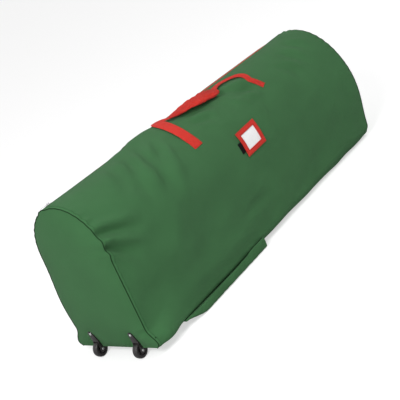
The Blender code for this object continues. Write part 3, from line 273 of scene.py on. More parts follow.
def set_uv(made, uv):
    """Gives each corner of each face its point's own place on the cloth, in metres."""
    mesh = made.data
    layer = mesh.uv_layers.active or mesh.uv_layers.new(name="UVMap")
    index = np.zeros(len(mesh.loops), np.int32)
    mesh.loops.foreach_get("vertex_index", index)
    layer.data.foreach_set("uv", np.asarray(uv, np.float32).reshape(-1, 2)[index].reshape(-1))


def lofted(name, grid, uv, flip=False):
    """A grid primitive whose points are moved to a lofted sheet."""
    rows, columns = grid.shape[:2]
    bpy.ops.object.select_all(action="DESELECT")
    bpy.ops.mesh.primitive_grid_add(x_subdivisions=columns - 1, y_subdivisions=rows - 1, size=1.0,
                                    location=(0, 0, 0))
    made = named(name)
    made.data.vertices.foreach_set("co", np.asarray(grid, np.float32).reshape(-1))
    set_uv(made, uv)
    if flip:
        made.data.flip_normals()
    made.data.update()
    return made


def edit(made, *steps):
    """Runs operators in edit mode on all of one object."""
    only(made)
    bpy.ops.object.mode_set(mode="EDIT")
    bpy.ops.mesh.select_all(action="SELECT")
    for step in steps:
        step()
    bpy.ops.object.mode_set(mode="OBJECT")


def weld(reach):
    """A step for edit() that joins points closer together than the reach."""
    return lambda: bpy.ops.mesh.remove_doubles(threshold=reach)


def face_out():
    """A step for edit() that turns every face outwards."""
    bpy.ops.mesh.select_all(action="SELECT")
    bpy.ops.mesh.normals_make_consistent(inside=False)


def tube(name, loops, uv):
    """A closed sweep, shut at both ends: each row of loops is one section, its last point its first."""
    made = lofted(name, loops, uv)
    edit(made, weld(2e-5), lambda: bpy.ops.mesh.fill_holes(sides=0), face_out)
    return made


def wall(made, thickness, offset=-1.0):
    """Gives a sheet its thickness."""
    modify(made, "wall", "SOLIDIFY", thickness=thickness, offset=offset, use_even_offset=True)


def rounded(made, width, angle=40.0):
    modify(made, "round", "BEVEL", width=width, segments=2, limit_method="ANGLE",
           angle_limit=math.radians(angle), use_clamp_overlap=True)


def beads(name, segments, rings, spots):
    """One small ball copied to many places, each given as its middle and its three half axes."""
    bpy.ops.object.select_all(action="DESELECT")
    bpy.ops.mesh.primitive_uv_sphere_add(segments=segments, ring_count=rings, radius=1.0,
                                         location=(0, 0, 0))
    template = bpy.context.object
    ball = co_of(template)
    faces = [list(p.vertices) for p in template.data.polygons]
    bpy.data.objects.remove(template, do_unlink=True)
    verts, polys = [], []
    for middle, (a, b, c) in spots:
        polys += [[v + len(verts) * len(ball) for v in face] for face in faces]
        verts.append(np.array(middle) + ball[:, :1] * a + ball[:, 1:2] * b + ball[:, 2:] * c)
    mesh = bpy.data.meshes.new(name)
    mesh.from_pydata(np.concatenate(verts).tolist(), [], polys)
    made = bpy.data.objects.new(name, mesh)
    bpy.context.scene.collection.objects.link(made)
    edit(made, face_out)
    return made


PUFF_STEPS = 20


def puffed(made, voxel, cap, held, growth=0.0):
    """Blows a closed pad up as cloth; points that held() picks stay, the rest move up to the cap."""
    modify(made, "voxels", "REMESH", mode="VOXEL", voxel_size=voxel)
    start = co_of(made)
    group = made.vertex_groups.new(name="held")
    group.add([int(k) for k in np.flatnonzero(held(start))], 1.0, "REPLACE")
    change = made.modifiers.new("pressure", "CLOTH")
    fabric = {"quality": 6, "mass": 0.2, "tension_stiffness": 20.0, "compression_stiffness": 20.0,
              "bending_stiffness": 0.3, "use_pressure": True, "uniform_pressure_force": 4.0,
              "shrink_min": -growth, "vertex_group_mass": "held"}
    for key, value in fabric.items():
        setattr(change.settings, key, value)
    change.settings.effector_weights.gravity = 0.0
    change.point_cache.frame_start = 1
    change.point_cache.frame_end = PUFF_STEPS
    for step in range(1, PUFF_STEPS + 1):
        bpy.context.scene.frame_set(step)
    apply_modifiers(made)
    moved = co_of(made) - start
    length = np.linalg.norm(moved, axis=1)
    moved *= (cap * np.tanh(length / cap) / np.maximum(length, 1e-9))[:, None]
    made.data.vertices.foreach_set("co", (start + moved).astype(np.float32).reshape(-1))
    made.data.update()
    made.vertex_groups.clear()
    bpy.context.scene.frame_set(1)
    modify(made, "smooth", "SUBSURF", levels=1, render_levels=1)


def repaint(made, key):
    """Gives a piece, or a solid that stays, its detailed material."""
    made.data.materials.clear()
    made.data.materials.append(finish(key))


def piece(made, key, body=None, stands_for=(), degrees=60.0):
    """Smooths a finished piece, and gives it its material and slot and the body that it moves with."""
    only(made)
    bpy.ops.object.shade_smooth_by_angle(angle=math.radians(degrees))
    repaint(made, key)
    if body is not None:
        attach(made, body)
    if stands_for:
        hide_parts(*stands_for)
    return made


def co_of(made):
    """An object's points as an array."""
    co = np.zeros(len(made.data.vertices) * 3, np.float32)
    made.data.vertices.foreach_get("co", co)
    return co.reshape(-1, 3).astype(float)


def box_cut(made, low, high):
    """Takes a plain box away from a piece."""
    size = Vector(high) - Vector(low)
    bpy.ops.object.select_all(action="DESELECT")
    bpy.ops.mesh.primitive_cube_add(size=1.0, location=(Vector(low) + Vector(high)) / 2, scale=size)
    tool = bpy.context.object
    modify(made, "notch", "BOOLEAN", operation="DIFFERENCE", solver="EXACT", object=tool)
    bpy.data.objects.remove(tool, do_unlink=True)


# Materials

class Finish:
    """A material with a Principled shader and small helpers to wire its nodes."""

    def __init__(self, name, colour, roughness, **sockets):
        self.material = bpy.data.materials.new(name)
        self.material.use_nodes = True
        self.tree = self.material.node_tree
        self.shader = self.tree.nodes["Principled BSDF"]
        self.shader.inputs["Base Color"].default_value = opaque(colour)
        self.shader.inputs["Roughness"].default_value = roughness
        for socket, value in sockets.items():
            self.shader.inputs[socket.replace("_", " ")].default_value = value

    def node(self, kind, values=(), **settings):
        made = self.tree.nodes.new("ShaderNode" + kind)
        for key, value in settings.items():
            setattr(made, key, value)
        for key, value in dict(values).items():
            if isinstance(value, bpy.types.NodeSocket):
                self.tree.links.new(value, made.inputs[key])
            else:
                made.inputs[key].default_value = value
        return made

    def math(self, operation, a, b=0.0):
        return self.node("Math", {0: a, 1: b}, operation=operation).outputs[0]

    def mixed(self, share, a, b, blend="MIX"):
        made = self.node("Mix", {0: share, 6: a, 7: b}, data_type="RGBA", blend_type=blend)
        return made.outputs[2]

    def noise(self, vector, scale, detail=3.0, roughness=0.5):
        made = self.node("TexNoise", {"Vector": vector, "Scale": scale, "Detail": detail,
                                      "Roughness": roughness})
        return made.outputs["Fac"]

    def coords(self, which="Object"):
        return self.node("TexCoord").outputs[which]

    def ramp(self, value, low, high):
        made = self.node("MapRange", {"Value": value, "From Min": low, "From Max": high})
        return made.outputs[0]

    def link(self, value, socket):
        self.tree.links.new(value, self.shader.inputs[socket])

    def bump(self, height, strength, distance, before=None):
        values = {"Height": height, "Strength": strength, "Distance": distance}
        if before is not None:
            values["Normal"] = before
        return self.node("Bump", values).outputs[0]


def woven(name, colour, pitch, depth, roughness=0.86, sheen=0.04, ribs=None, shade=0.22, wear=0.10,
          padded=False):
    """Plain weave on the piece's own UV, in metres, with uneven yarns, soiling and sheen, and painted shade
    on the yarns that dip under.

    A padded piece has no UV after its simulation, so its weave follows the object's X and Y.
    """
    f = Finish(name, colour, roughness, Sheen_Weight=sheen, Sheen_Roughness=0.45,
               Specular_IOR_Level=0.12)
    threads = f.coords("Object" if padded else "UV")
    uv = f.node("SeparateXYZ", {0: threads})
    along = f.math("MULTIPLY", uv.outputs[0], math.pi / pitch)
    across = f.math("MULTIPLY", uv.outputs[1], math.pi / (ribs or pitch))
    warp = f.math("ABSOLUTE", f.math("SINE", along))
    weft = f.math("ABSOLUTE", f.math("SINE", across))
    # Where both sines have one sign the warp lies on top, and elsewhere the weft
    over = f.math("GREATER_THAN", f.math("MULTIPLY", f.math("SINE", along), f.math("SINE", across)), 0.0)
    height = f.math("ADD", f.math("MULTIPLY", warp, over),
                    f.math("MULTIPLY", weft, f.math("SUBTRACT", 1.0, over)))
    place = f.coords("Object")
    broad = f.noise(place, 7.0, 4.0, 0.55)
    yarn = f.noise(place, 420.0, 2.0, 0.6)
    dark, light = opaque(colour, 1.0 - shade), opaque(colour, 1.0 + 0.5 * shade)
    base = f.mixed(f.ramp(broad, 0.30, 0.70), dark, light)
    base = f.mixed(0.5, opaque(colour), base)
    # Painted shade: where the weave dips, under the yarn on top, the colour is mixed towards the darker tone
    base = f.mixed(f.math("MULTIPLY", f.math("SUBTRACT", 1.0, height), 0.35), base, dark)
    base = f.mixed(f.math("MULTIPLY", f.ramp(yarn, 0.45, 0.75), wear), base, light)
    f.link(base, "Base Color")
    f.link(f.math("ADD", roughness - 0.08, f.math("MULTIPLY", broad, 0.16)), "Roughness")
    slub = f.noise(f.node("Mapping", {"Vector": threads, "Scale": (90.0, 900.0, 1.0)}).outputs[0],
                   1.0, 2.0)
    soft = f.bump(f.noise(place, 26.0, 4.0, 0.6), 0.35, 0.004)
    fine = f.bump(f.math("ADD", height, f.math("MULTIPLY", slub, 0.6)), 0.75, depth, soft)
    f.link(fine, "Normal")
    return f.material


def plastic(name, colour, roughness, grain=240.0):
    f = Finish(name, colour, roughness, Specular_IOR_Level=0.5, Coat_Weight=0.15, Coat_Roughness=0.2)
    place = f.coords("Object")
    scuff = f.noise(place, 60.0, 6.0, 0.7)
    f.link(f.math("ADD", roughness, f.math("MULTIPLY", f.ramp(scuff, 0.5, 0.8), 0.22)), "Roughness")
    worn = tuple(min(1.0, c * 2.2 + 0.01) for c in tuple(colour)[:3]) + (1.0,)
    f.link(f.mixed(f.math("MULTIPLY", f.ramp(scuff, 0.52, 0.85), 0.5), opaque(colour), worn), "Base Color")
    f.link(f.bump(f.noise(place, grain, 3.0), 0.12, 0.0006), "Normal")
    return f.material


def metal(name, colour, roughness):
    f = Finish(name, colour, roughness, Metallic=1.0)
    scratch = f.noise(f.node("Mapping", {"Vector": f.coords("Object"),
                                         "Scale": (300.0, 300.0, 1800.0)}).outputs[0], 1.0, 4.0)
    f.link(f.math("ADD", roughness - 0.05, f.math("MULTIPLY", scratch, 0.15)), "Roughness")
    f.link(f.bump(scratch, 0.10, 0.0003), "Normal")
    return f.material


def board(name, colour):
    f = Finish(name, colour, 0.75)
    fibre = f.noise(f.coords("Object"), 320.0, 6.0, 0.7)
    f.link(f.mixed(f.ramp(fibre, 0.35, 0.65), opaque(colour, 0.6), opaque(colour)), "Base Color")
    f.link(f.bump(fibre, 0.4, 0.0006), "Normal")
    return f.material


def paper(name):
    f = Finish(name, (0.94, 0.94, 0.94), 0.6)
    fibre = f.noise(f.coords("Object"), 500.0, 5.0, 0.6)
    f.link(f.mixed(f.ramp(fibre, 0.3, 0.7), (0.92, 0.92, 0.92, 1.0), (0.96, 0.96, 0.96, 1.0)),
           "Base Color")
    f.link(f.bump(fibre, 0.15, 0.0003), "Normal")
    return f.material


def vinyl(name):
    f = Finish(name, (1.0, 1.0, 1.0), 0.08, Alpha=0.10, Specular_IOR_Level=0.7)
    ripple = f.noise(f.coords("Object"), 28.0, 3.0)
    f.link(f.bump(ripple, 0.5, 0.003), "Normal")
    return f.material


FINISHES = {}


def finish(key):
    """The object's materials, each made once from the scene's colours."""
    if key in FINISHES:
        return FINISHES[key]
    colours = bpy.context.scene.treebag_colours
    red = colours.webbing
    makers = {
        "cloth": lambda: woven("green woven polyester", colours.cloth, 0.0011, 0.0005),
        "skid": lambda: woven("green padded polyester", colours.cloth, 0.0011, 0.0005, shade=0.4,
                              padded=True),
        "grip": lambda: woven("red padded wrap", red, 0.0016, 0.0009, 0.80, 0.05, shade=0.9, wear=0.2,
                              padded=True),
        "webbing": lambda: woven("red ribbed webbing", red, 0.0016, 0.0009, 0.80, 0.05, ribs=0.0030),
        "tape": lambda: woven("red zip tape", red, 0.0009, 0.0004, 0.80, 0.05, ribs=0.0014),
        "coil": lambda: plastic("red nylon coil", red, 0.42),
        "thread": lambda: woven("dark green thread", opaque(colours.cloth, 0.16), 0.0009, 0.0004, 0.9, 0.0),
        "red_thread": lambda: woven("dark red thread", opaque(red, 0.45), 0.0009, 0.0004, 0.9, 0.0),
        "black_tape": lambda: woven("black binding tape", (0.004, 0.004, 0.004), 0.0010, 0.0004, 0.9, 0.02),
        "moulding": lambda: plastic("black moulding", colours.black, 0.26),
        "tyre": lambda: plastic("black wheel rubber", colours.black, 0.40, 380.0),
        "nickel": lambda: metal("nickel plate", (0.60, 0.60, 0.61), 0.24),
        "board": lambda: board("hardboard", colours.board),
        "card": lambda: paper("white card"),
        "vinyl": lambda: vinyl("clear vinyl"),
    }
    FINISHES[key] = makers[key]()
    return FINISHES[key]


# The cloth of both sides: a lofted grid with the bulges, gathers and folds of the filled bag

SIDES = {-1: "near", 1: "far"}

# Broad swellings as (side, distance, run from the floor edge, reach along, reach up, height)
BULGES = (
    (-1, 0.380, 0.088, 0.200, 0.038, 0.007),
    (-1, 0.060, 0.035, 0.055, 0.050, 0.013),
    (1, 0.000, 0.175, 0.130, 0.105, 0.017),
    (-1, BAG_LENGTH, 0.210, 0.110, 0.120, 0.010),
)

# The soft ridge that the filling pushes up across the near side, as (run, distance) points
RIDGE = ((0.040, 0.165), (0.130, 0.190), (0.216, 0.230), (0.258, 0.252), (0.296, 0.276), (0.338, 0.300),
         (0.420, 0.340))

# Folds as (side, depth, half width, share of the length at which it is deepest, points), with
# each point a distance and a run from the floor's edge
FOLDS = (
    (-1, 0.016, 0.014, 0.1, ((-0.004, 0.428), (0.045, 0.408), (0.08, 0.389), (0.13, 0.366), (0.19, 0.345))),
    (-1, 0.0145, 0.013, 0.12, ((-0.004, 0.38), (0.02, 0.366), (0.06, 0.332), (0.12, 0.278))),
    (-1, 0.008, 0.021, 0.4, ((0.262, 0.61), (0.24, 0.54), (0.215, 0.47), (0.2, 0.41))),
    (-1, 0.012, 0.021, 0.4, ((0.34, 0.61), (0.325, 0.583), (0.28, 0.498), (0.255, 0.427), (0.24, 0.35))),
    (-1, 0.0135, 0.02, 0.4, ((0.405, 0.595), (0.395, 0.578), (0.34, 0.484), (0.315, 0.409), (0.298, 0.33))),
    (-1, 0.012, 0.018, 0.4, ((0.465, 0.58), (0.455, 0.564), (0.385, 0.484), (0.345, 0.414), (0.322, 0.34))),
    (-1, 0.011, 0.015, 0.4, ((0.6, 0.574), (0.65, 0.551), (0.715, 0.537), (0.77, 0.53))),
    (-1, 0.007, 0.013, 0.5, ((0.59, 0.52), (0.64, 0.5), (0.7, 0.48))),
    (-1, 0.015, 0.014, 0.7, ((0.76, 0.56), (0.785, 0.552), (0.845, 0.524), (0.895, 0.496), (0.95, 0.47))),
    (-1, 0.009, 0.013, 0.45, ((0.79, 0.52), (0.84, 0.495), (0.89, 0.465))),
    (-1, 0.006, 0.016, 0.5, ((1.145, 0.54), (1.18, 0.48), (1.235, 0.415))),
    (-1, 0.006, 0.016, 0.5, ((1.215, 0.57), (1.245, 0.51), (1.275, 0.44))),
    (-1, 0.005, 0.015, 0.5, ((1.06, 0.5), (1.11, 0.45), (1.15, 0.4))),
    (-1, 0.003, 0.014, 0.5, ((0.5, 0.13), (0.62, 0.15), (0.76, 0.15))),
    (1, 0.008, 0.014, 0.12, ((0.004, 0.3), (0.08, 0.28), (0.17, 0.25))),
    (1, 0.0075, 0.013, 0.15, ((0.004, 0.39), (0.07, 0.37), (0.15, 0.33))),
    (1, 0.0055, 0.015, 0.4, ((0.4, 0.5), (0.36, 0.43), (0.32, 0.36))),
    (1, 0.005, 0.015, 0.4, ((0.47, 0.48), (0.44, 0.41), (0.4, 0.35))),
    (1, 0.0045, 0.012, 0.4, ((0.96, 0.43), (0.9, 0.38), (0.83, 0.33))),
    (1, 0.004, 0.013, 0.5, ((1.18, 0.43), (1.23, 0.36), (1.27, 0.3))),
)


def crown_rise(d):
    """How far the filling pushes up the crown, its zip included, under the first handle end."""
    return 0.010 * ease((d - 0.395) / 0.040) * (1.0 - ease((d - 0.48) / 0.15))


def zip_tilt(d):
    """How steeply the zip leans towards the near side, over the far half of the bag."""
    return 0.26 * ease((d - 0.78) / 0.12) * ease((1.33 - d) / 0.10)


def station_list(step):
    """Distances along the bag, closer together at the two end seams."""
    fine = 0.4 * step
    edge = 16
    head = [fine * k for k in range(edge)]
    span = BAG_LENGTH - 2.0 * fine * edge
    count = round(span / step)
    middle = [fine * edge + span * k / count for k in range(count + 1)]
    return np.array(head + middle + [BAG_LENGTH - d for d in reversed(head)])


def line_distance(d, g, points):
    """How far each place is from a line of (distance, run) points, and its share along it."""
    best = np.full(d.shape, 9.0)
    where = np.zeros(d.shape)
    points = np.array(points, float)
    spans = np.linalg.norm(np.diff(points, axis=0), axis=1)
    starts = np.concatenate([[0.0], np.cumsum(spans)])
    for k, span in enumerate(spans):
        a = points[k]
        step = (points[k + 1] - a) / span
        t = np.clip((d - a[0]) * step[0] + (g - a[1]) * step[1], 0.0, span)
        away = np.hypot(d - a[0] - t * step[0], g - a[1] - t * step[1])
        closer = away < best
        best = np.where(closer, away, best)
        where = np.where(closer, (starts[k] + t) / starts[-1], where)
    return best, where


class Cloth:
    """Both sides of the bag as grids of points, and places on them."""

    def __init__(self, shape):
        self.shape = shape
        self.d = station_list(shape.grid)
        self.grids = {side: self.make(side) for side in SIDES}

    def make(self, side):
        """One side's points, the run up to each, the directions out of it and each row's whole run."""
        lines = [Section(d).side_line(side) for d in self.d]
        columns = round(float(np.mean([run[-1] for _, run, _ in lines])) / self.shape.grid)
        shares = np.linspace(0.0, 1.0, columns + 1)
        grid = np.zeros((len(self.d), columns + 1, 3))
        runs = np.zeros((len(self.d), columns + 1))
        for i, (points, run, _) in enumerate(lines):
            at = shares * run[-1]
            grid[i, :, 0] = START_X + self.d[i]
            grid[i, :, 1] = np.interp(at, run, points[:, 0])
            grid[i, :, 2] = np.interp(at, run, points[:, 1])
            runs[i] = at
        out = self.outward(grid, side)
        grid += self.lift(side, np.repeat(self.d[:, None], columns + 1, 1), runs)[..., None] * out
        if side < 0:
            grid[..., 1] = self.level(grid, runs)
        return {"grid": grid, "runs": runs, "out": self.outward(grid, side), "total": runs[:, -1]}

    def level(self, grid, runs):
        """Keeps the cloth behind the card holder, and along the card's way out, straight along the bag."""
        d = self.d[:, None]
        share = ease((d - HOLDER_MIDDLE + 0.085) / 0.025) * ease((HOLDER_MIDDLE + 0.160 - d) / 0.030)
        share = share * ease((runs - 0.265) / 0.030) * ease((0.435 - runs) / 0.030)
        i = int(np.argmin(np.abs(self.d - HOLDER_MIDDLE)))
        side_wall = (runs[i] > 0.20) & (runs[i] < 0.50)
        y = np.interp(grid[..., 2], grid[i, side_wall, 2], grid[i, side_wall, 1])
        return mix(grid[..., 1], y, share)

    def outward(self, grid, side):
        """The direction out of the cloth at each point."""
        return unit(np.cross(np.gradient(grid, axis=1), np.gradient(grid, axis=0)) * side)

    def lift(self, side, d, g):
        """How far each point stands off the plain loft."""
        total = g[:, -1][:, None]
        end = np.minimum(d, BAG_LENGTH - d)
        fade = ease(end / 0.060) * ease((total - g) / 0.050) * ease(g / 0.030)
        lift = np.zeros(d.shape)
        for where, d0, g0, wide, tall, high in BULGES:
            if where == side:
                held = 1.0 if d0 in (0.0, BAG_LENGTH) else ease(end / 0.050)
                lift += held * high * bell(d - d0, wide) * bell(g - g0, tall)
        if side < 0:
            line = np.interp(g, *zip(*RIDGE))
            away = (d - line) / np.where(d < line, 0.085, 0.170)
            away = np.sqrt(away ** 2 + 0.010) - 0.100
            lift += 0.0115 * np.clip(1.0 - away, 0.0, 1.0) ** 1.4 * bell(g - 0.310, 0.140)
        lift *= ease((total - g) / 0.060) * ease(g / 0.020)
        over = total - g
        lift += CROWN_SHARE * crown_rise(d) * bell(over, 0.11)
        if side < 0:
            # The near cloth rides up over the zip and hides it from the wheel end
            ridden = ease((d - 0.290) / 0.080) * (1.0 - ease((d - 0.48) / 0.12))
            lift += 0.0070 * ridden * bell(over - 0.030, 0.030)
        lift += side * EDGE_FROM_ZIP * zip_tilt(d) * bell(over, 0.018)
        wave = np.zeros(d.shape)
        for i in range(d.shape[0]):
            for j in range(d.shape[1]):
                at = Vector((4.2 * d[i, j], 6.5 * g[i, j], 3.0 * side))
                fine = Vector((11.0 * d[i, j], 15.0 * g[i, j], 9.0 + side))
                wave[i, j] = 0.0055 * noise.noise(at) + 0.0030 * noise.noise(fine)
        lift += fade * wave
        creases = np.zeros(d.shape)
        for where, depth, half, peak, points in FOLDS:
            if where == side:
                away, along = line_distance(d, g, points)
                x = away / (half * (0.75 + 0.8 * along))
                taper = ease(along / peak) * (1.0 - ease((along - peak) / (1.0 - peak)) ** 2)
                creases += depth * taper * crease(x, 0.50)
        # The sewn handle ends hold the cloth flat
        for spot in (HANDLE_A, HANDLE_B):
            creases *= 1.0 - 0.95 * bell(d - spot, 0.030, 4)
        lift += creases
        # The seam draws the cloth in, and gathers it across the seam
        dip = np.clip(1.0 - end / 0.010, 0.0, 1.0) ** 1.8
        gather = np.zeros(d.shape)
        for k in range(d.shape[1]):
            at = g[0, k]
            beat = math.sin(2.0 * math.pi * at / 0.026 + 2.4 * math.sin(9.0 * at + side))
            gather[:, k] = beat * (0.6 + 0.4 * math.sin(31.0 * at))
        reach = bell(end, 0.024) * (1.0 - 0.7 * bell(end, 0.004))
        upper = 0.25 + 0.75 * ease((g - 0.26) / 0.12)
        lift += self.shape.pucker * gather * reach * upper * ease(g / 0.04) * ease((total - g) / 0.04)
        return lift - self.shape.seam_dip * dip * ease(g / 0.010) * ease((total - g) / 0.010)

    def run_at(self, side, distance, angle):
        """The run from the floor's edge to an angle on the arch; far angles count from its spring."""
        section = Section(distance)
        turns = np.linspace(0.0, max(angle, 1e-6), 40)
        y, z = section.arch(turns)
        return section.side_line(side)[2] + float(np.sum(np.hypot(np.diff(y), np.diff(z))))

    def at(self, side, distance, run, lift=0.0):
        """A point on the cloth, and the direction out of it."""
        made = self.grids[side]
        i = int(np.clip(np.searchsorted(self.d, distance) - 1, 0, len(self.d) - 2))
        s = float(np.clip((distance - self.d[i]) / (self.d[i + 1] - self.d[i]), 0.0, 1.0))
        total = mix(made["total"][i], made["total"][i + 1], s)
        columns = made["grid"].shape[1] - 1
        q = float(np.clip(run / total, 0.0, 1.0)) * columns
        j = min(int(q), columns - 1)
        t = q - j
        def read(name):
            g = made[name]
            return mix(mix(g[i, j], g[i, j + 1], t), mix(g[i + 1, j], g[i + 1, j + 1], t), s)
        out = unit(read("out"))
        return read("grid") + lift * out, out


def flap_share(points, side):
    """How far each point follows the opened flap, from 0 on the body to 1 on the flap."""
    d = points[:, 0] - START_X
    s = Section(np.clip(d, 0.0, BAG_LENGTH))
    angle = np.arctan2((points[:, 2] - s.spring) / s.rise, side * points[:, 1] / s.wall_half)
    turned = ease((angle - s.root_angle() + math.radians(1.0)) / math.radians(9.0))
    along = ease((d - MOUTH_START) / 0.290) * ease((MOUTH_END - d) / 0.215)
    return turned * along


def bend_with_flap(made, side):
    """Bakes a piece's transform and works out how far each point would follow the opened flap; the piece is
    not bent.
    """
    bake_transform(made)
    share = flap_share(co_of(made), side)


CLOTH = {}


def cloth():
    """The cloth of both sides, worked out once."""
    if "made" not in CLOTH:
        CLOTH["made"] = Cloth(bpy.context.scene.treebag_shape)
    return CLOTH["made"]


def notch_boxes():
    """The openings in the cloth that the two wheel brackets fill."""
    reach = WHEEL_RADIUS + WHEEL_ROOM + MOULDED_WALL + NOTCH_ROOM
    half = WHEEL_HALF + WHEEL_SIDE_ROOM + MOULDED_WALL + NOTCH_ROOM
    for side in SIDES:
        y = side * WHEEL_TRACK_HALF
        yield ((AXLE_X - 0.09, y - half, WHEEL_RADIUS - reach),
               (AXLE_X + reach, y + half, WHEEL_RADIUS + reach))


class TREEBAG_OT_sides(bpy.types.Operator):
    """Loft both long sides with their mouth flaps, folds and gathers"""
    bl_idname = "treebag.sides"
    bl_label = "Sides"

    def execute(self, context):
        made_cloth = cloth()
        for side, name in SIDES.items():
            made = made_cloth.grids[side]
            uv = np.stack([np.repeat(made_cloth.d[:, None], made["runs"].shape[1], 1), made["runs"]], axis=2)
            skin = lofted("side_cloth_" + name, made["grid"], uv, flip=side < 0)
            wall(skin, context.scene.treebag_shape.cloth)
            piece(skin, "cloth", stands_for=("side_panel_" + name, "mouth_flap_" + name))
            bend_with_flap(skin, side)
        return {"FINISHED"}


def end_loop(side_index):
    """The closed loop of an end seam, near side up and far side down, from the cloth's end rows."""
    made_cloth = cloth()
    near = made_cloth.grids[-1]["grid"][side_index]
    far = made_cloth.grids[1]["grid"][side_index]
    floor = np.linspace(far[0], near[0], 34)[1:-1]
    bridge = np.linspace(near[-1], far[-1], 6)[1:-1]
    return np.concatenate([near, bridge, far[::-1], floor])


class TREEBAG_OT_ends(bpy.types.Operator):
    """Swell both end panels out from their seams, and lay the floor panel"""
    bl_idname = "treebag.ends"
    bl_label = "Ends and floor"

    def swell(self, loop, rings, shares, depth):
        """How far an end panel stands out at each point: like a cushion between its edges."""
        heights = np.linspace(loop[:, 2].min(), loop[:, 2].max(), 240)
        after = np.roll(loop, -1, 0)
        low, high = np.full(240, 9.0), np.full(240, -9.0)
        for a, b in zip(loop, after):
            share = (heights - a[2]) / (b[2] - a[2] if abs(b[2] - a[2]) > 1e-9 else 1e-9)
            y = mix(a[1], b[1], np.clip(share, 0.0, 1.0))
            crosses = (share >= -0.02) & (share <= 1.02)
            low = np.where(crosses, np.minimum(low, y), low)
            high = np.where(crosses, np.maximum(high, y), high)
        y, z = rings[:, :, 1], rings[:, :, 2]
        room = (y - np.interp(z, heights, low)) * (np.interp(z, heights, high) - y)
        low_end = 1.0 - np.exp(-np.maximum(z - heights[0], 0.0) / 0.070)
        room = np.clip(room / 0.170 ** 2, 0.0, 1.0) * low_end
        return depth * room ** 0.62 * (1.0 - shares[:, None] ** 14) ** 0.7

    def execute(self, context):
        shape = context.scene.treebag_shape
        for name, index, direction, depth in (("wheels", 0, -1, DOME_WHEEL), ("far", -1, 1, DOME_FAR)):
            loop = end_loop(index)
            section = Section(0.0 if index == 0 else BAG_LENGTH)
            # From this low middle every point of the seam, its flared foot too, is in plain sight
            middle = np.array([section.x, 0.0, section.bottom + 0.160])
            shares = 1.0 - np.linspace(0.0, 1.0, 30) ** 1.35 * 0.985
            rings = middle + (loop - middle)[None] * shares[:, None, None]
            out = self.swell(loop, rings, shares, depth)
            wave = [[noise.noise(Vector((7.0 * y, 7.0 * z, 4.0 * direction))) for _, y, z in ring]
                    for ring in rings]
            out += 0.0022 * (1.0 - shares[:, None] ** 6) * np.array(wave)
            if index == 0:
                away, along = line_distance(rings[:, :, 1], rings[:, :, 2],
                                            ((-0.098, 0.074), (-0.125, 0.088), (-0.160, 0.094)))
                out += 0.0030 * ease(along / 0.3) * ease((1.0 - along) / 0.3) * crease(away / 0.007, 0.6)
                # The wheel brackets lie on the solid's own, plainer dome
                height = ease((rings[:, :, 2] - section.bottom) / 0.170)
                half = 0.5 * (section.spring + section.rise - section.bottom)
                share = (section.bottom + half - rings[:, :, 2]) / half
                plain = depth * (1.0 - share ** 2) * mix(0.70, 1.0, height) - 0.0008
                by_wheel = np.hypot(np.abs(rings[:, :, 1]) - WHEEL_TRACK_HALF,
                                    0.7 * (rings[:, :, 2] - 0.050))
                out += (plain - out) * (1.0 - ease((by_wheel - 0.016) / 0.036))
            rings[:, :, 0] = section.x + direction * out
            rings = np.concatenate([rings, rings[:, :1]], axis=1)
            made = lofted("end_cloth_" + name, rings, rings[:, :, 1:3], flip=direction > 0)
            edit(made, weld(2e-5))
            only(made)
            bpy.ops.object.mode_set(mode="EDIT")
            bpy.ops.mesh.select_all(action="DESELECT")
            bpy.ops.object.mode_set(mode="OBJECT")
            inner = np.linalg.norm(co_of(made)[:, 1:] - middle[1:], axis=1) < 0.006
            made.data.vertices.foreach_set("select", inner)
            bpy.ops.object.mode_set(mode="EDIT")
            bpy.ops.mesh.select_mode(type="VERT")
            bpy.ops.mesh.merge(type="CENTER")
            bpy.ops.object.mode_set(mode="OBJECT")
            wall(made, shape.cloth)
            if index == 0:
                for low, high in notch_boxes():
                    box_cut(made, low, high)
            piece(made, "cloth", "bag", ("end_panel_" + name,))
        rows = []
        for distance in station_list(0.010):
            section = Section(distance)
            half = section.floor_half + 0.0002
            y = np.linspace(half, -half, 30)
            rows.append(np.stack([np.full(30, section.x), y, np.full(30, section.bottom)], axis=1))
        rows = np.array(rows)
        made = lofted("bottom_cloth", rows, rows[:, :, :2])
        if made.data.polygons[0].normal.z > 0.0:
            made.data.flip_normals()
        wall(made, shape.cloth)
        for low, high in notch_boxes():
            box_cut(made, low, high)
        piece(made, "cloth", "bag", ("bottom_panel",))
        return {"FINISHED"}


# Webbing

def smooth_path(points, step):
    """A curve through given (distance, angle, lift) points, read off at about even steps."""
    pts = [np.array(p, float) for p in points]
    pts = [2 * pts[0] - pts[1]] + pts + [2 * pts[-1] - pts[-2]]
    dense = []
    for a, b, c, d in zip(pts, pts[1:], pts[2:], pts[3:]):
        for k in range(24):
            t = k / 24.0
            dense.append(0.5 * (2 * b + (c - a) * t + (2 * a - 5 * b + 4 * c - d) * t * t
                                + (3 * b - a - 3 * c + d) * t ** 3))
    dense.append(pts[-2])
    dense = np.array(dense)
    run = run_along(dense * np.array([1.0, WALL_HALF[1], 1.0]))
    marks = np.linspace(0.0, run[-1], max(2, round(run[-1] / step)) + 1)
    return [tuple(float(np.interp(m, run, dense[:, i])) for i in range(3)) for m in marks]


HANDLE_SPOTS = {-1: ((HANDLE_A, 37.4), (HANDLE_B, 47.2)), 1: ((HANDLE_A, 143.0), (HANDLE_B, 143.0))}


def patch_top(distance, degrees, side):
    """The angle at which the webbing leaves its sewn patch."""
    angle = math.radians(degrees)
    return angle - side * float(Section(distance).turn_for(PATCH_LONG + PATCH_GAP, angle))


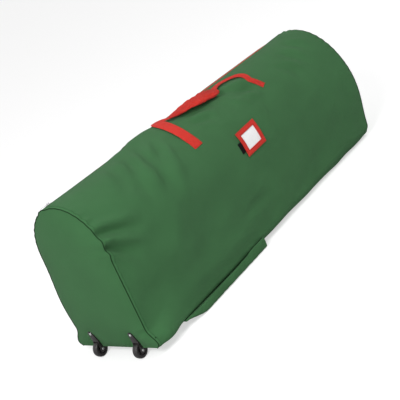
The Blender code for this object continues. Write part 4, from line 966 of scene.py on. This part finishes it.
def handle_path(side):
    """A handle from its first sewn tip to its second, as (distance, arch angle, lift) points."""
    (d0, degrees0), (d1, degrees1) = HANDLE_SPOTS[side]
    a = patch_top(d0, degrees0, side)
    b = patch_top(d1, degrees1, side)
    low = 0.0004
    corner = 1.25 * STRAP_HALF
    if side < 0:
        lies = ((0.532, 62.0, 0.003), (0.537, 75.0, 0.005), (0.545, 88.0, 0.006), (0.555, 95.5, 0.006),
                (0.568, 95.5, 0.006), (0.582, 88.5, 0.008), (0.602, 84.0, 0.010), (0.640, 81.0, 0.012),
                (0.678, 79.0, 0.012), (0.740, 77.0, 0.012), (0.775, 75.5, 0.011), (0.805, 77.5, 0.010),
                (0.840, 81.0, 0.009), (0.870, 82.0, 0.008), (0.9025, 80.0, 0.007), (0.928, 76.0, 0.007),
                (0.941, 71.0, 0.007), (0.944, 67.0, 0.006))
        middle = ([(d0, a, low)] + [(d, math.radians(t), lift) for d, t, lift in lies]
                  + [(d1 - LEAN_B, b, low)])
    else:
        # The far handle lies folded down over the crown, along one angle of the arch
        top, high = math.radians(129.0), 0.0040
        half = [(d0, a, low), (d0, mix(a, top, 0.15), mix(low, high, 0.1)),
                (d0, mix(a, top, 0.4), mix(low, high, 0.3)),
                (d0 + 0.5 * corner, mix(a, top, 0.85), mix(low, high, 0.7)),
                (d0 + 1.9 * corner, top, high)]
        other = [(d0 + d1 - d, angle, lift) for d, angle, lift in reversed(half)]
        other[-1] = (d1, b, low)
        other[-2] = (d1, mix(b, top, 0.15), mix(low, high, 0.1))
        middle = half + [(0.5 * (d0 + d1), top, high)] + other
    path = smooth_path(middle, 0.004)
    tips = []
    for distance, degrees in HANDLE_SPOTS[side]:
        start = math.radians(degrees)
        top = patch_top(distance, degrees, side)
        lean = LEAN_B if side < 0 and distance == HANDLE_B else 0.0
        tips.append([(distance - lean * mix(0.18, 1.0, share), mix(start, top, share), low)
                     for share in (k / 12.0 for k in range(12))])
    return tips[0], path, tips[1][::-1]


def path_frames(side, path):
    """Points along a path on the cloth with the directions across it and out of it."""
    made_cloth = cloth()
    points, outs = [], []
    for distance, angle, lift in path:
        section = Section(distance)
        y, z = section.arch(angle)
        y1, z1 = section.arch(angle, 1.0)
        out = np.array([0.0, y1 - y, z1 - z])
        own = angle if side < 0 else math.pi - angle
        own_run = made_cloth.run_at(side, distance, own)
        limit = float(np.interp(distance, made_cloth.d, made_cloth.grids[side]["total"]))
        rest = np.array([float(section.x), float(y), float(z)])
        if own_run < limit:
            on_cloth, _ = made_cloth.at(side, distance, own_run)
            rise = float((on_cloth - rest) @ out)
        else:
            rise = 0.0
        points.append(rest + out * (lift + max(rise, 0.0 if side < 0 else -0.010)))
        outs.append(out)
    points = np.array(points)
    along = unit(np.gradient(points, axis=0))
    across = unit(np.cross(np.array(outs), along))
    return points, along, across, np.cross(along, across)


def webbing_section(half, thick, steps=8):
    """A strap's flat section with rounded edges, as (across, up) points with the first repeated."""
    radius = 0.5 * thick
    points = []
    for k in range(steps + 1):
        a = mix(-half + radius, half - radius, k / steps)
        points.append((a, 0.0))
    for k in range(1, 4):
        turn = -0.5 * math.pi + math.pi * k / 4.0
        points.append((half - radius + radius * math.cos(turn), radius + radius * math.sin(turn)))
    for k in range(steps + 1):
        a = mix(half - radius, -half + radius, k / steps)
        points.append((a, thick))
    for k in range(1, 4):
        turn = 0.5 * math.pi + math.pi * k / 4.0
        points.append((-half + radius + radius * math.cos(turn), radius + radius * math.sin(turn)))
    return np.array(points + points[:1])


def sweep(name, frames, section, scale=None):
    """Sweeps a section along frames of (points, along, across, out)."""
    points, _, across, out = frames
    run, rim = run_along(points), run_along(section)
    wide = np.ones(len(points)) if scale is None else scale
    loops = (points[:, None] + across[:, None] * (section[None, :, :1] * wide[:, None, None])
             + out[:, None] * section[None, :, 1:])
    uv = np.stack(np.meshgrid(run, rim, indexing="ij"), axis=2)
    return tube(name, loops, uv)


class TREEBAG_OT_handles(bpy.types.Operator):
    """Sew both webbing handles to the flaps and wrap the near one's grip"""
    bl_idname = "treebag.handles"
    bl_label = "Handles"

    def execute(self, context):
        section = webbing_section(STRAP_HALF, context.scene.treebag_shape.webbing)
        for side, name in SIDES.items():
            first, middle, last = handle_path(side)
            path = first + middle + last
            frames = path_frames(side, path)
            strap = sweep("handle_webbing_" + name, frames, section, self.widths(side, path))
            piece(strap, "webbing",
                  stands_for=("handle_strap_" + name, "handle_end_%s_a" % name, "handle_end_%s_b" % name))
            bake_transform(strap)
            co = co_of(strap)
            if side < 0:
                self.grip(middle)
        return {"FINISHED"}

    @staticmethod
    def widths(side, path):
        """How wide the webbing shows along a handle: folded at its bend and towards its second end."""
        d = np.array([p[0] for p in path])
        if side > 0:
            return np.ones(len(d))
        marks = (0.0, 0.546, 0.560, 0.585, 0.640, 0.790, 0.840, 0.925, 0.944, 2.0)
        shares = (1.0, 1.0, 0.85, 0.38, 0.55, 0.60, 0.42, 0.40, 0.60, 0.62)
        return np.interp(d, marks, shares)

    def grip(self, path):
        """The soft wrap round the near handle, wider towards its far end."""
        wrapped = [p for p in path if GRIP_START <= p[0] <= GRIP_END]
        wrapped = [p for k, p in enumerate(wrapped) if k == 0 or p[0] > wrapped[k - 1][0]]
        points, along, across, out = path_frames(-1, wrapped)
        count = len(wrapped)
        share = np.linspace(0.0, 1.0, count)
        half = np.interp(share, (0.0, 0.20, 0.55, 0.90, 1.0), (0.010, 0.019, 0.0265, 0.0285, 0.0270))
        high = np.interp(share, (0.0, 0.20, 0.55, 0.90, 1.0), (0.0035, 0.0060, 0.0085, 0.0095, 0.0085))
        turns = np.linspace(0.0, 2.0 * math.pi, 49)
        loops, uv = [], []
        for k in range(count):
            loop = []
            slant = -0.007 * float(ease((share[k] - 0.45) / 0.5))
            for j, turn in enumerate(turns):
                c, s = math.cos(turn), math.sin(turn)
                ripple = noise.noise(Vector((c * 2.5, s * 2.5, 9.0 * share[k])))
                fine = noise.noise(Vector((c * 7.0, s * 7.0, 22.0 * share[k])))
                bump = 0.0026 * ripple + 0.0016 * fine
                a = (half[k] + bump) * math.copysign(abs(c) ** 0.75, c)
                b = 0.5 * high[k] + (high[k] + bump) * math.copysign(abs(s) ** 0.8, s)
                loop.append(points[k] + across[k] * a + out[k] * b + along[k] * (slant * a / half[k]))
            loops.append(loop)
            uv.append([(0.24 * share[k], 0.12 * j / 48.0) for j in range(49)])
        made = tube("grip_wrap", np.array(loops), np.array(uv))

        def held(co):
            nearest = np.array([np.argmin(np.sum((points - p) ** 2, axis=1)) for p in co])
            return np.sum((co - points[nearest]) * out[nearest], axis=1) < 0.0010
        puffed(made, 0.0028, 0.0030, held, 0.06)
        piece(made, "grip", "near_handle", ("handle_grip_wrap",), degrees=50.0)


# Card holder

class TREEBAG_OT_card_holder(bpy.types.Operator):
    """Sew the card frame, its window, the card and the plain black tab"""
    bl_idname = "treebag.card_holder"
    bl_label = "Card holder"

    def execute(self, context):
        self.foot = cloth().run_at(-1, HOLDER_MIDDLE, math.radians(2.6))
        tall, border = HOLDER_TALL, HOLDER_BORDER
        left, right = HOLDER_MIDDLE - HOLDER_HALF, HOLDER_MIDDLE + HOLDER_HALF
        bands = (
            ("card_frame_low", left, right, 0.0, border),
            ("card_frame_high", left, right, tall - border, tall),
            ("card_frame_left", left, left + border, border - 0.001, tall - border + 0.001),
            ("card_frame_right", right - border, right, border - 0.001, tall - border + 0.001))
        card_frame = joined("card_frame", [self.slab(*band, 0.0028, 0.0043) for band in bands])
        rows = []
        for inset in (0.0030, border - 0.0030):
            d0, d1, s0, s1 = left + inset, right - inset, inset, tall - inset
            ring = [(d0, s0), (d1, s0), (d1, s1), (d0, s1), (d0, s0)]
            for a, b in zip(ring, ring[1:]):
                rows.append(pairs_apart([self.spot(mix(a[0], b[0], t), mix(a[1], b[1], t), 0.0044)
                                         for t in np.linspace(0.0, 1.0, 16)]))
        stitched("frame_stitches", rows, "red_thread")
        piece(card_frame, "webbing", "bag", ("card_holder_frame",), degrees=50.0)
        back = self.slab("card_backing", left + 0.002, right - 0.002, 0.002, tall - 0.002, 0.0004, 0.0012)
        piece(back, "cloth", "bag", degrees=50.0)
        window = self.slab("card_window", left + 0.012, right - 0.004, 0.012, tall - 0.012, 0.0022, 0.0027)
        piece(window, "vinyl", "bag", ("card_holder_window",), degrees=50.0)
        low = 0.5 * (tall - CARD_TALL)
        card = self.slab("card_sheet", HOLDER_MIDDLE - CARD_HALF, HOLDER_MIDDLE + CARD_HALF, low, tall - low,
                         0.0014, 0.0019)
        piece(card, "card", "card", ("name_card",), degrees=50.0)
        low = 0.42 * (tall - 0.0340)
        tab = self.slab("plain_tab", left - 0.0190, left + 0.0010, low - 0.003, low + 0.0350, 0.0010, 0.0026)
        piece(tab, "black_tape", "bag", ("black_tab",), degrees=50.0)
        return {"FINISHED"}

    def spot(self, d, s, lift):
        """A place on the holder's level cloth, at a distance and a height up the holder."""
        place, out = cloth().at(-1, HOLDER_MIDDLE, self.foot + s)
        out = np.array([0.0, out[1], out[2]]) / math.hypot(out[1], out[2])
        return np.array([START_X + d, place[1], place[2]]) + lift * out, out

    def slab(self, name, d0, d1, s0, s1, low, high):
        """A thin piece between two distances and two heights of the holder, and two lifts off the cloth."""
        nd = max(2, round((d1 - d0) / 0.004))
        ns = max(2, round((s1 - s0) / 0.004))
        grid = np.zeros((nd + 1, ns + 1, 3))
        for i in range(nd + 1):
            for j in range(ns + 1):
                d = mix(d0, d1, i / nd)
                s = mix(s0, s1, j / ns)
                grid[i, j], _ = self.spot(d, s, low)
        uv = np.stack(np.meshgrid(np.linspace(d0, d1, nd + 1), np.linspace(s0, s1, ns + 1), indexing="ij"),
                      axis=2)
        made = lofted(name, grid, uv, flip=True)
        wall(made, high - low, 1.0)
        rounded(made, min(0.0005, 0.3 * (high - low)))
        return made


class TREEBAG_OT_seams(bpy.types.Operator):
    """Lay a cord of near-black thread along both end seams, whose dark colour also paints the shade of the
    seam's valley
    """
    bl_idname = "treebag.seams"
    bl_label = "Seams"

    def execute(self, context):
        for name, index, direction in (("wheels", 0, -1), ("far", -1, 1)):
            loop = end_loop(index)
            count = len(cloth().grids[-1]["grid"][index]) + len(cloth().grids[1]["grid"][index]) + 4
            path = loop[:count] + np.array([direction * 0.0006, 0.0, 0.0])
            path[:, 2] = np.maximum(path[:, 2], SEAM_CORD)
            along = unit(np.gradient(path, axis=0))
            out = np.cross(np.array([-direction, 0.0, 0.0]), along) * direction
            out = facing(out, path - np.array([path[0, 0], 0.0, SEAM_MIDDLE]))
            turns = np.linspace(0.0, 2.0 * math.pi, 9)
            section = SEAM_CORD * np.stack([np.cos(turns), np.sin(turns)], axis=1)
            # Painted shade: the near-black thread on this cord is both the seam's thread and the shade in the
            # seam's valley
            cord = sweep("seam_line_" + name, (path, along, np.cross(out, along), out), section)
            piece(cord, "thread", "bag")
        return {"FINISHED"}


# Skid pad

class TREEBAG_OT_skid(bpy.types.Operator):
    """Pad the skid that is sewn under the belly"""
    bl_idname = "treebag.skid"
    bl_label = "Skid"

    def execute(self, context):
        loops, uv = [], []
        for d in np.linspace(SKID_START, SKID_END, 95):
            loop = self.loop(d)
            run = run_along(loop)
            loops.append([(START_X + d, y, z) for y, z in np.concatenate([loop, loop[:1]])])
            uv.append([(d, r) for r in list(run) + [run[-1] + 0.01]])
        made = tube("skid_padding", np.array(loops), np.array(uv))

        def held(co):
            section = Section(co[:, 0] - START_X)
            inside = np.abs(co[:, 1]) < section.base_half + 0.0015
            return inside | (co[:, 2] < 0.0025)
        puffed(made, 0.0048, 0.0016, held, 0.03)
        piece(made, "skid", "bag", ("skid_pad",), degrees=45.0)
        return {"FINISHED"}

    def loop(self, d):
        """The skid's closed section at one distance, from the near side round under the belly."""
        section = Section(d)
        lift = float(ease((0.250 - d) / (0.250 - SKID_START)))
        bottom = float(section.bottom)
        low = lift * (bottom - 0.0030)
        corner = float(section.corner)
        floor_half = float(section.floor_half)
        top = mix(0.0345, 0.0410, float(ease((d - 0.420) / 0.150)))
        half = mix(float(section.base_half) + 0.007, SKID_HALF, float(ease((d - SKID_START) / 0.070)))
        # The lip stands off the cloth above the line where the skid is sewn on
        sewn = max(bottom + 0.0030, top - 0.0090)
        reach = math.acos(1.0 - (sewn - bottom) / corner)
        radius = corner + GAP
        turns = np.linspace(0.0, reach, 9)
        inner = list(zip(floor_half + radius * np.sin(turns), bottom + corner - radius * np.cos(turns)))
        wall = half - 0.0055
        inner += [(wall, inner[-1][1] + 0.0005), (wall, top - 0.0010), (wall + 0.0010, top)]
        lip, sole = 0.003, 0.010
        outer = []
        for k in range(4):
            turn = 0.5 * math.pi * k / 3.0
            outer.append((half - lip + lip * math.sin(turn), top - lip + lip * math.cos(turn)))
        for k in range(6):
            turn = 0.5 * math.pi * k / 5.0
            outer.append((half - sole + sole * math.cos(turn), low + sole - sole * math.sin(turn)))
        flat = [(y, low) for y in np.linspace(half - sole, 0.0, 8)[1:-1]]
        side = inner + outer + flat
        middle = [(y, bottom - GAP) for y in np.linspace(-floor_half, floor_half, 14)[1:-1]]
        return np.array(side + [(0.0, low)] + [(-y, z) for y, z in reversed(side)] + middle)


# Wheels

def turned(name, profile, centre, steps=56):
    """A circle whose points are moved to a closed profile, spun round the axle's direction."""
    centre = Vector(centre)
    axis = Vector((0, 1, 0))
    arm = axis.orthogonal().normalized()
    bpy.ops.object.select_all(action="DESELECT")
    bpy.ops.mesh.primitive_circle_add(vertices=len(profile), radius=1.0, location=(0, 0, 0))
    made = named(name)
    for vert, (radius, height) in zip(made.data.vertices, profile):
        vert.co = centre + arm * radius + axis * height
    edit(made, lambda: bpy.ops.mesh.spin(steps=steps, angle=2.0 * math.pi, center=centre, axis=axis),
         lambda: bpy.ops.mesh.select_all(action="SELECT"), weld(1e-5), face_out)
    return made


class TREEBAG_OT_wheels(bpy.types.Operator):
    """Turn the tyres and hubs, and finish the axles, the moulded brackets and their rivets"""
    bl_idname = "treebag.wheels"
    bl_label = "Wheels"

    def execute(self, context):
        half = WHEEL_HALF
        for side, name in SIDES.items():
            centre = (AXLE_X, side * WHEEL_TRACK_HALF, WHEEL_RADIUS)
            seat = WHEEL_RADIUS - TYRE_DEPTH
            shoulder = WHEEL_RADIUS - 0.0016
            crown = []
            for k in range(9):
                turn = math.pi * k / 8.0
                crown.append((shoulder + 0.0016 * math.sin(turn), -0.92 * half * math.cos(turn)))
            tyre = turned("tyre_" + name, [(seat, -half), (shoulder - 0.001, -half)] + crown
                          + [(shoulder - 0.001, half), (seat, half)], centre)
            rounded(tyre, 0.0004)
            piece(tyre, "tyre", name + "_wheel", ("wheel_tyre_" + name,), degrees=35.0)
            rim = seat - GAP
            rim_in = rim - MOULDED_WALL
            web = 0.0020
            hub = turned("hub_" + name, [
                (HUB_BORE, -half), (HUB_BOSS, -half), (HUB_BOSS, -web), (rim_in, -web), (rim_in, -half),
                (rim, -half), (rim, half), (rim_in, half), (rim_in, web), (HUB_BOSS, web),
                (HUB_BOSS, half), (HUB_BORE, half)], centre)
            spokes = []
            size = (rim_in - HUB_BOSS + 0.0008, 2.0 * half - 0.0024, 0.0022)
            for k in range(6):
                turn = 2.0 * math.pi * k / 6
                out = Vector((math.cos(turn), 0.0, math.sin(turn)))
                at = Vector(centre) + 0.5 * (HUB_BOSS + rim_in) * out
                bpy.ops.object.select_all(action="DESELECT")
                bpy.ops.mesh.primitive_cube_add(size=1.0, location=at, rotation=(0.0, -turn, 0.0), scale=size)
                spokes.append(bpy.context.object)
            hub = joined("hub_" + name, [hub] + spokes)
            rounded(hub, 0.0003)
            piece(hub, "moulding", name + "_wheel", ("wheel_hub_" + name,), degrees=35.0)
            bracket = self.copy_of("wheel_bracket_" + name, "bracket_" + name)
            rounded(bracket, 0.0006, 35.0)
            piece(bracket, "moulding", "bag", ("wheel_bracket_" + name,), degrees=35.0)
            for node in ("wheel_axle_", "bracket_rivet_", "rivet_washer_"):
                repaint(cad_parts[node + name], "nickel")
        return {"FINISHED"}

    def copy_of(self, node, name):
        """A merged copy of a solid, free of its tags, to be worked on as a piece."""
        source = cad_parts[node]
        made = source.copy()
        made.data = source.data.copy()
        for key in list(made.keys()):
            if key.startswith("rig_"):
                del made[key]
        made.parent = None
        made.name = name
        made.data.name = name
        bpy.context.scene.collection.objects.link(made)
        edit(made, weld(1e-5), lambda: bpy.ops.mesh.dissolve_limited(angle_limit=math.radians(2.0)), face_out)
        return made


# Zip

class TREEBAG_OT_zip(bpy.types.Operator):
    """Lay the zip's tapes and coil teeth, and finish its ends, slider and pull"""
    bl_idname = "treebag.zip"
    bl_label = "Zip"

    def execute(self, context):
        for side, half in SIDES.items():
            start, end = MOUTH_START + ZIP_SPLIT, MOUTH_END - ZIP_SPLIT
            self.tape("zip_tape_" + half, side, start, end, ("zipper_tape_" + half,))
            self.teeth("zip_teeth_" + half, side, start, end, ("zipper_coil_" + half,))
        for name, start, end in (("wheels", ZIP_INSET, MOUTH_START - ZIP_SPLIT),
                                 ("far", MOUTH_END + ZIP_SPLIT, BAG_LENGTH - ZIP_INSET)):
            for side, half in SIDES.items():
                stands_for = ("zipper_end_" + name,) if side < 0 else ()
                self.tape("zip_%s_tape_%s" % (name, half), side, start, end, stands_for, still=True)
                self.teeth("zip_%s_teeth_%s" % (name, half), side, start, end, (), still=True)
        for node in ("zipper_slider", "zipper_pull"):
            repaint(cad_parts[node], "nickel")
        return {"FINISHED"}

    def frame(self):
        """The zip's start, and the directions along it, across it and out of it."""
        start, end = Section(0.0), Section(BAG_LENGTH)
        origin = Vector((start.x, start.zip_side, start.zip_top))
        along = (Vector((end.x, end.zip_side, end.zip_top)) - origin).normalized()
        middle = Section(0.5 * BAG_LENGTH)
        step = float(middle.turn_for(EDGE_FROM_ZIP, middle.zip_angle))
        y0, z0 = middle.arch(middle.zip_angle - step)
        y1, z1 = middle.arch(middle.zip_angle + step)
        across = Vector((0.0, y1 - y0, z1 - z0))
        across = (across - across.dot(along) * along).normalized()
        return origin, along, across, along.cross(across).normalized()

    def place(self, d, offset, lift):
        """A point beside the zip's line, at an offset across it and a lift off the arch."""
        section = Section(d)
        y, z = section.arch(section.zip_angle + section.turn_for(offset, section.zip_angle),
                            lift + CROWN_SHARE * crown_rise(d) + offset * zip_tilt(d))
        return float(section.x), float(y), float(z)

    def tape(self, name, side, start, end, stands_for, still=False):
        rows = np.linspace(start, end, max(3, round((end - start) / 0.010)) + 1)
        places = (0.0012, 0.0050, 0.0088, 0.0127, 0.0165)
        grid = np.array([[self.place(d, side * p, -ZIP_DEPTH) for p in places] for d in rows])
        uv = np.array([[(d, p) for p in places] for d in rows])
        made = lofted(name, grid, uv, flip=side > 0)
        if made.data.polygons[0].normal.z < 0.0:
            made.data.flip_normals()
        wall(made, 0.0010)
        piece(made, "tape", "bag" if still else None, stands_for, degrees=50.0)
        if not still:
            bend_with_flap(made, side)

    def teeth(self, name, side, start, end, stands_for, still=False):
        """Coil turns modelled once and copied along the tape's inner edge."""
        origin, along, across, out = self.frame()
        middle, pitch = 0.0025 * side, 0.0026
        low = GAP - ZIP_DEPTH + 0.0010
        axes = [np.array(a) * size for a, size in ((across, 0.0016), (along, 0.0010), (out, 0.0010))]
        spots = []
        for k in range(int((end - start) / pitch)):
            d = start + pitch * (k + (0.25 if side < 0 else 0.75))
            lift = low + CROWN_SHARE * float(crown_rise(d)) + middle * float(zip_tilt(d))
            spots.append((origin + along * (d / along.x) + out * lift + across * middle, axes))
        made = beads(name, 8, 5, spots)
        piece(made, "coil", "bag" if still else None, stands_for)
        if not still:
            bend_with_flap(made, side)


class TREEBAG_OT_inside(bpy.types.Operator):
    """Finish the base board and bind both end seams inside with folded tape"""
    bl_idname = "treebag.inside"
    bl_label = "Inside"

    def execute(self, context):
        repaint(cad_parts["base_board"], "board")
        made_cloth = cloth()
        for name, rows in (("wheels", (1, 2)), ("far", (-2, -3))):
            sides = []
            for side in SIDES:
                grid, out = (made_cloth.grids[side][key] for key in ("grid", "out"))
                sides.append(np.mean([grid[row] - 0.0032 * out[row] for row in rows], axis=0)[2:-2])
            near, far = sides
            bridge = np.linspace(near[-1], far[-1], 5)[1:-1]
            points = np.concatenate([near, bridge, far[::-1]])
            along = unit(np.gradient(points, axis=0))
            across = np.tile(np.array([1.0, 0.0, 0.0]), (len(points), 1))
            middle = np.array([points[0, 0], 0.0, SEAM_MIDDLE])
            inward = facing(unit(np.cross(across, along)), middle - points)
            half, deep = 0.0006, 0.0080
            turns = np.linspace(0.0, math.pi, 7)
            fold = [(half * math.cos(t), deep - half + half * math.sin(t)) for t in turns]
            section = np.array([(half, 0.0)] + fold + [(-half, 0.0), (half, 0.0)])
            made = sweep("seam_tape_" + name, (points, along, across, inward), section)
            piece(made, "black_tape", "bag", ("seam_binding_" + name,), degrees=50.0)
        return {"FINISHED"}


# Stitching

def stitched(name, rows, key, body="bag"):
    """Single stitches along rows of (points, directions out of the cloth), as one piece."""
    shape = bpy.context.scene.treebag_shape
    spots = []
    thick, long = 0.5 * shape.thread, 0.5 * shape.stitch
    for points, outs in rows:
        run = run_along(points)
        count = int(run[-1] / (1.3 * shape.stitch))
        for k in range(count):
            at = run[-1] * (k + 0.5) / count
            middle, before, after, out = (
                np.array([np.interp(place, run, values[:, axis]) for axis in range(3)])
                for place, values in ((at, points), (at - long, points), (at + long, points), (at, outs)))
            along, out = unit(after - before), unit(out)
            spots.append((middle, (along * long, np.cross(out, along) * thick, out * thick)))
    made = beads(name, 6, 4, spots)
    return piece(made, key, body)


class TREEBAG_OT_stitches(bpy.types.Operator):
    """Sew the handle patches, the cloth beside the zip and the rows beside the end seams"""
    bl_idname = "treebag.stitches"
    bl_label = "Stitches"

    def execute(self, context):
        for side, name in SIDES.items():
            first, _, last = handle_path(side)
            rows = []
            for tip in (first, last):
                wide = float(TREEBAG_OT_handles.widths(side, tip).mean()) * STRAP_HALF - 0.0030
                rows += self.cross_box(side, tip, wide, context.scene.treebag_shape.webbing)
            stitched("patch_stitches_" + name, rows, "red_thread", name + "_flap")
            total = cloth().grids[side]["total"]
            rows = [pairs_apart([cloth().at(side, d, float(np.interp(d, cloth().d, total)) - 0.0050, 0.0003)
                                 for d in np.arange(0.006, BAG_LENGTH - 0.006, 0.006)])]
            made = stitched("zip_stitches_" + name, rows, "thread", None)
            bend_with_flap(made, side)
        rows = []
        for side in SIDES:
            made = cloth().grids[side]
            for row in (3, -4):
                lift = 0.0002 * made["out"][row]
                rows.append((made["grid"][row][3:-2] + lift[3:-2], made["out"][row][3:-2]))
        stitched("seam_stitches", rows, "thread")
        return {"FINISHED"}

    def cross_box(self, side, tip, wide, thick):
        """A sewn box with a cross in it on one handle patch."""
        points, _, across, out = path_frames(side, tip)
        run = run_along(points)
        low, high = 0.0030, run[-1] - 0.0030
        corners = ((low, -wide), (high, -wide), (high, wide), (low, wide))
        lines = [(corners[k], corners[(k + 1) % 4]) for k in range(4)]
        lines += [(corners[0], corners[2]), (corners[1], corners[3])]
        rows = []
        for a, b in lines:
            spots = []
            for share in np.linspace(0.0, 1.0, 14):
                at, off = mix(a[0], b[0], share), mix(a[1], b[1], share)
                place, aside, up = (np.array([np.interp(at, run, v[:, i]) for i in range(3)])
                                    for v in (points, across, out))
                spots.append((place + aside * off + up * (thick + 0.0001), up))
            rows.append(pairs_apart(spots))
        return rows


# Stage

class TREEBAG_OT_stage(bpy.types.Operator):
    """Add the floor, the lamps, the pale surroundings and the camera"""
    bl_idname = "treebag.stage"
    bl_label = "Stage"

    def execute(self, context):
        scene = context.scene
        scene.view_settings.view_transform = "Standard"
        self.camera(scene)
        self.floor()
        self.world(scene)
        self.lamp("key", (-3.4, -1.3, 2.8), 1.5, 104.0)
        self.lamp("fill", (0.9, -2.2, 4.0), 1.8, 50.0)
        return {"FINISHED"}

    def camera(self, scene):
        """The camera that took the photo, as its place and the directions of the picture's sides."""
        data = bpy.data.cameras.new("camera")
        data.lens = 110.18
        data.sensor_width = 36.0
        made = bpy.data.objects.new("camera", data)
        right = Vector((0.54236, -0.74931, -0.37997))
        up = Vector((0.52404, -0.05178, 0.85012))
        back = right.cross(up).normalized()
        up = back.cross(right)
        turn = Matrix((right, up, back)).transposed()
        made.matrix_world = Matrix.Translation((-2.7935, -2.7040, 1.7013)) @ turn.to_4x4()
        scene.collection.objects.link(made)
        scene.camera = made

    def floor(self):
        bpy.ops.object.select_all(action="DESELECT")
        bpy.ops.mesh.primitive_grid_add(x_subdivisions=4, y_subdivisions=4, size=24.0, location=(0, 0, 0))
        made = named("floor")
        pale = Finish("pale floor", (0.62, 0.62, 0.62), 0.9, Specular_IOR_Level=0.1,
                      Emission_Color=(1.0, 1.0, 1.0, 1.0))
        seen = pale.node("LightPath").outputs["Is Camera Ray"]
        pale.link(pale.math("MULTIPLY", seen, 0.57), "Emission Strength")
        made.data.materials.append(pale.material)

    def world(self, scene):
        """An even pale light; the camera, gloss and clear sheets see plain white in its place."""
        world = bpy.data.worlds.new("studio")
        scene.world = world
        world.use_nodes = True
        tree = world.node_tree
        back = tree.nodes["Background"]
        back.inputs["Color"].default_value = (1.0, 1.0, 1.0, 1.0)
        back.inputs["Strength"].default_value = 0.48
        white = tree.nodes.new("ShaderNodeBackground")
        white.inputs["Color"].default_value = (1.0, 1.0, 1.0, 1.0)
        white.inputs["Strength"].default_value = 1.0
        path = tree.nodes.new("ShaderNodeLightPath")
        seen = path.outputs["Is Camera Ray"]
        for ray in ("Is Glossy Ray", "Is Transmission Ray"):
            either = tree.nodes.new("ShaderNodeMath")
            either.operation = "MAXIMUM"
            tree.links.new(seen, either.inputs[0])
            tree.links.new(path.outputs[ray], either.inputs[1])
            seen = either.outputs[0]
        blend = tree.nodes.new("ShaderNodeMixShader")
        for k, socket in enumerate((seen, back.outputs[0], white.outputs[0])):
            tree.links.new(socket, blend.inputs[k])
        tree.links.new(blend.outputs[0], tree.nodes["World Output"].inputs["Surface"])

    def lamp(self, name, place, size, power):
        data = bpy.data.lights.new(name, "AREA")
        data.shape = "DISK"
        data.size = size
        data.energy = power
        made = bpy.data.objects.new(name, data)
        made.location = place
        aim = Vector((0.0, 0.0, 0.25)) - Vector(place)
        made.rotation_euler = aim.to_track_quat("-Z", "Y").to_euler()
        bpy.context.scene.collection.objects.link(made)


class TREEBAG_PT_main(bpy.types.Panel):
    """The bag's sizes, colours and pieces"""
    bl_idname = "TREEBAG_PT_main"
    bl_label = "Tree Bag"
    bl_space_type = "VIEW_3D"
    bl_region_type = "UI"
    bl_category = "Tree Bag"

    def draw(self, context):
        for group in (context.scene.treebag_shape, context.scene.treebag_colours):
            for name in group.__annotations__:
                self.layout.prop(group, name)
        for name in PIECES:
            self.layout.operator("treebag." + name)


PIECES = ("sides", "ends", "seams", "zip", "handles", "card_holder", "skid", "wheels", "inside", "stitches",
          "stage")
CLASSES = (BagShape, BagColours, TREEBAG_OT_sides, TREEBAG_OT_ends, TREEBAG_OT_seams, TREEBAG_OT_zip,
           TREEBAG_OT_handles, TREEBAG_OT_card_holder, TREEBAG_OT_skid, TREEBAG_OT_wheels,
           TREEBAG_OT_inside, TREEBAG_OT_stitches, TREEBAG_OT_stage, TREEBAG_PT_main)


def register():
    for cls in CLASSES:
        bpy.utils.register_class(cls)
    bpy.types.Scene.treebag_shape = PointerProperty(type=BagShape)
    bpy.types.Scene.treebag_colours = PointerProperty(type=BagColours)


def unregister():
    del bpy.types.Scene.treebag_colours
    del bpy.types.Scene.treebag_shape
    for cls in reversed(CLASSES):
        bpy.utils.unregister_class(cls)


def main():
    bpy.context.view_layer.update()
    register()
    for name in PIECES:
        getattr(bpy.ops.treebag, name)()


if __name__ == "__main__":
    main()
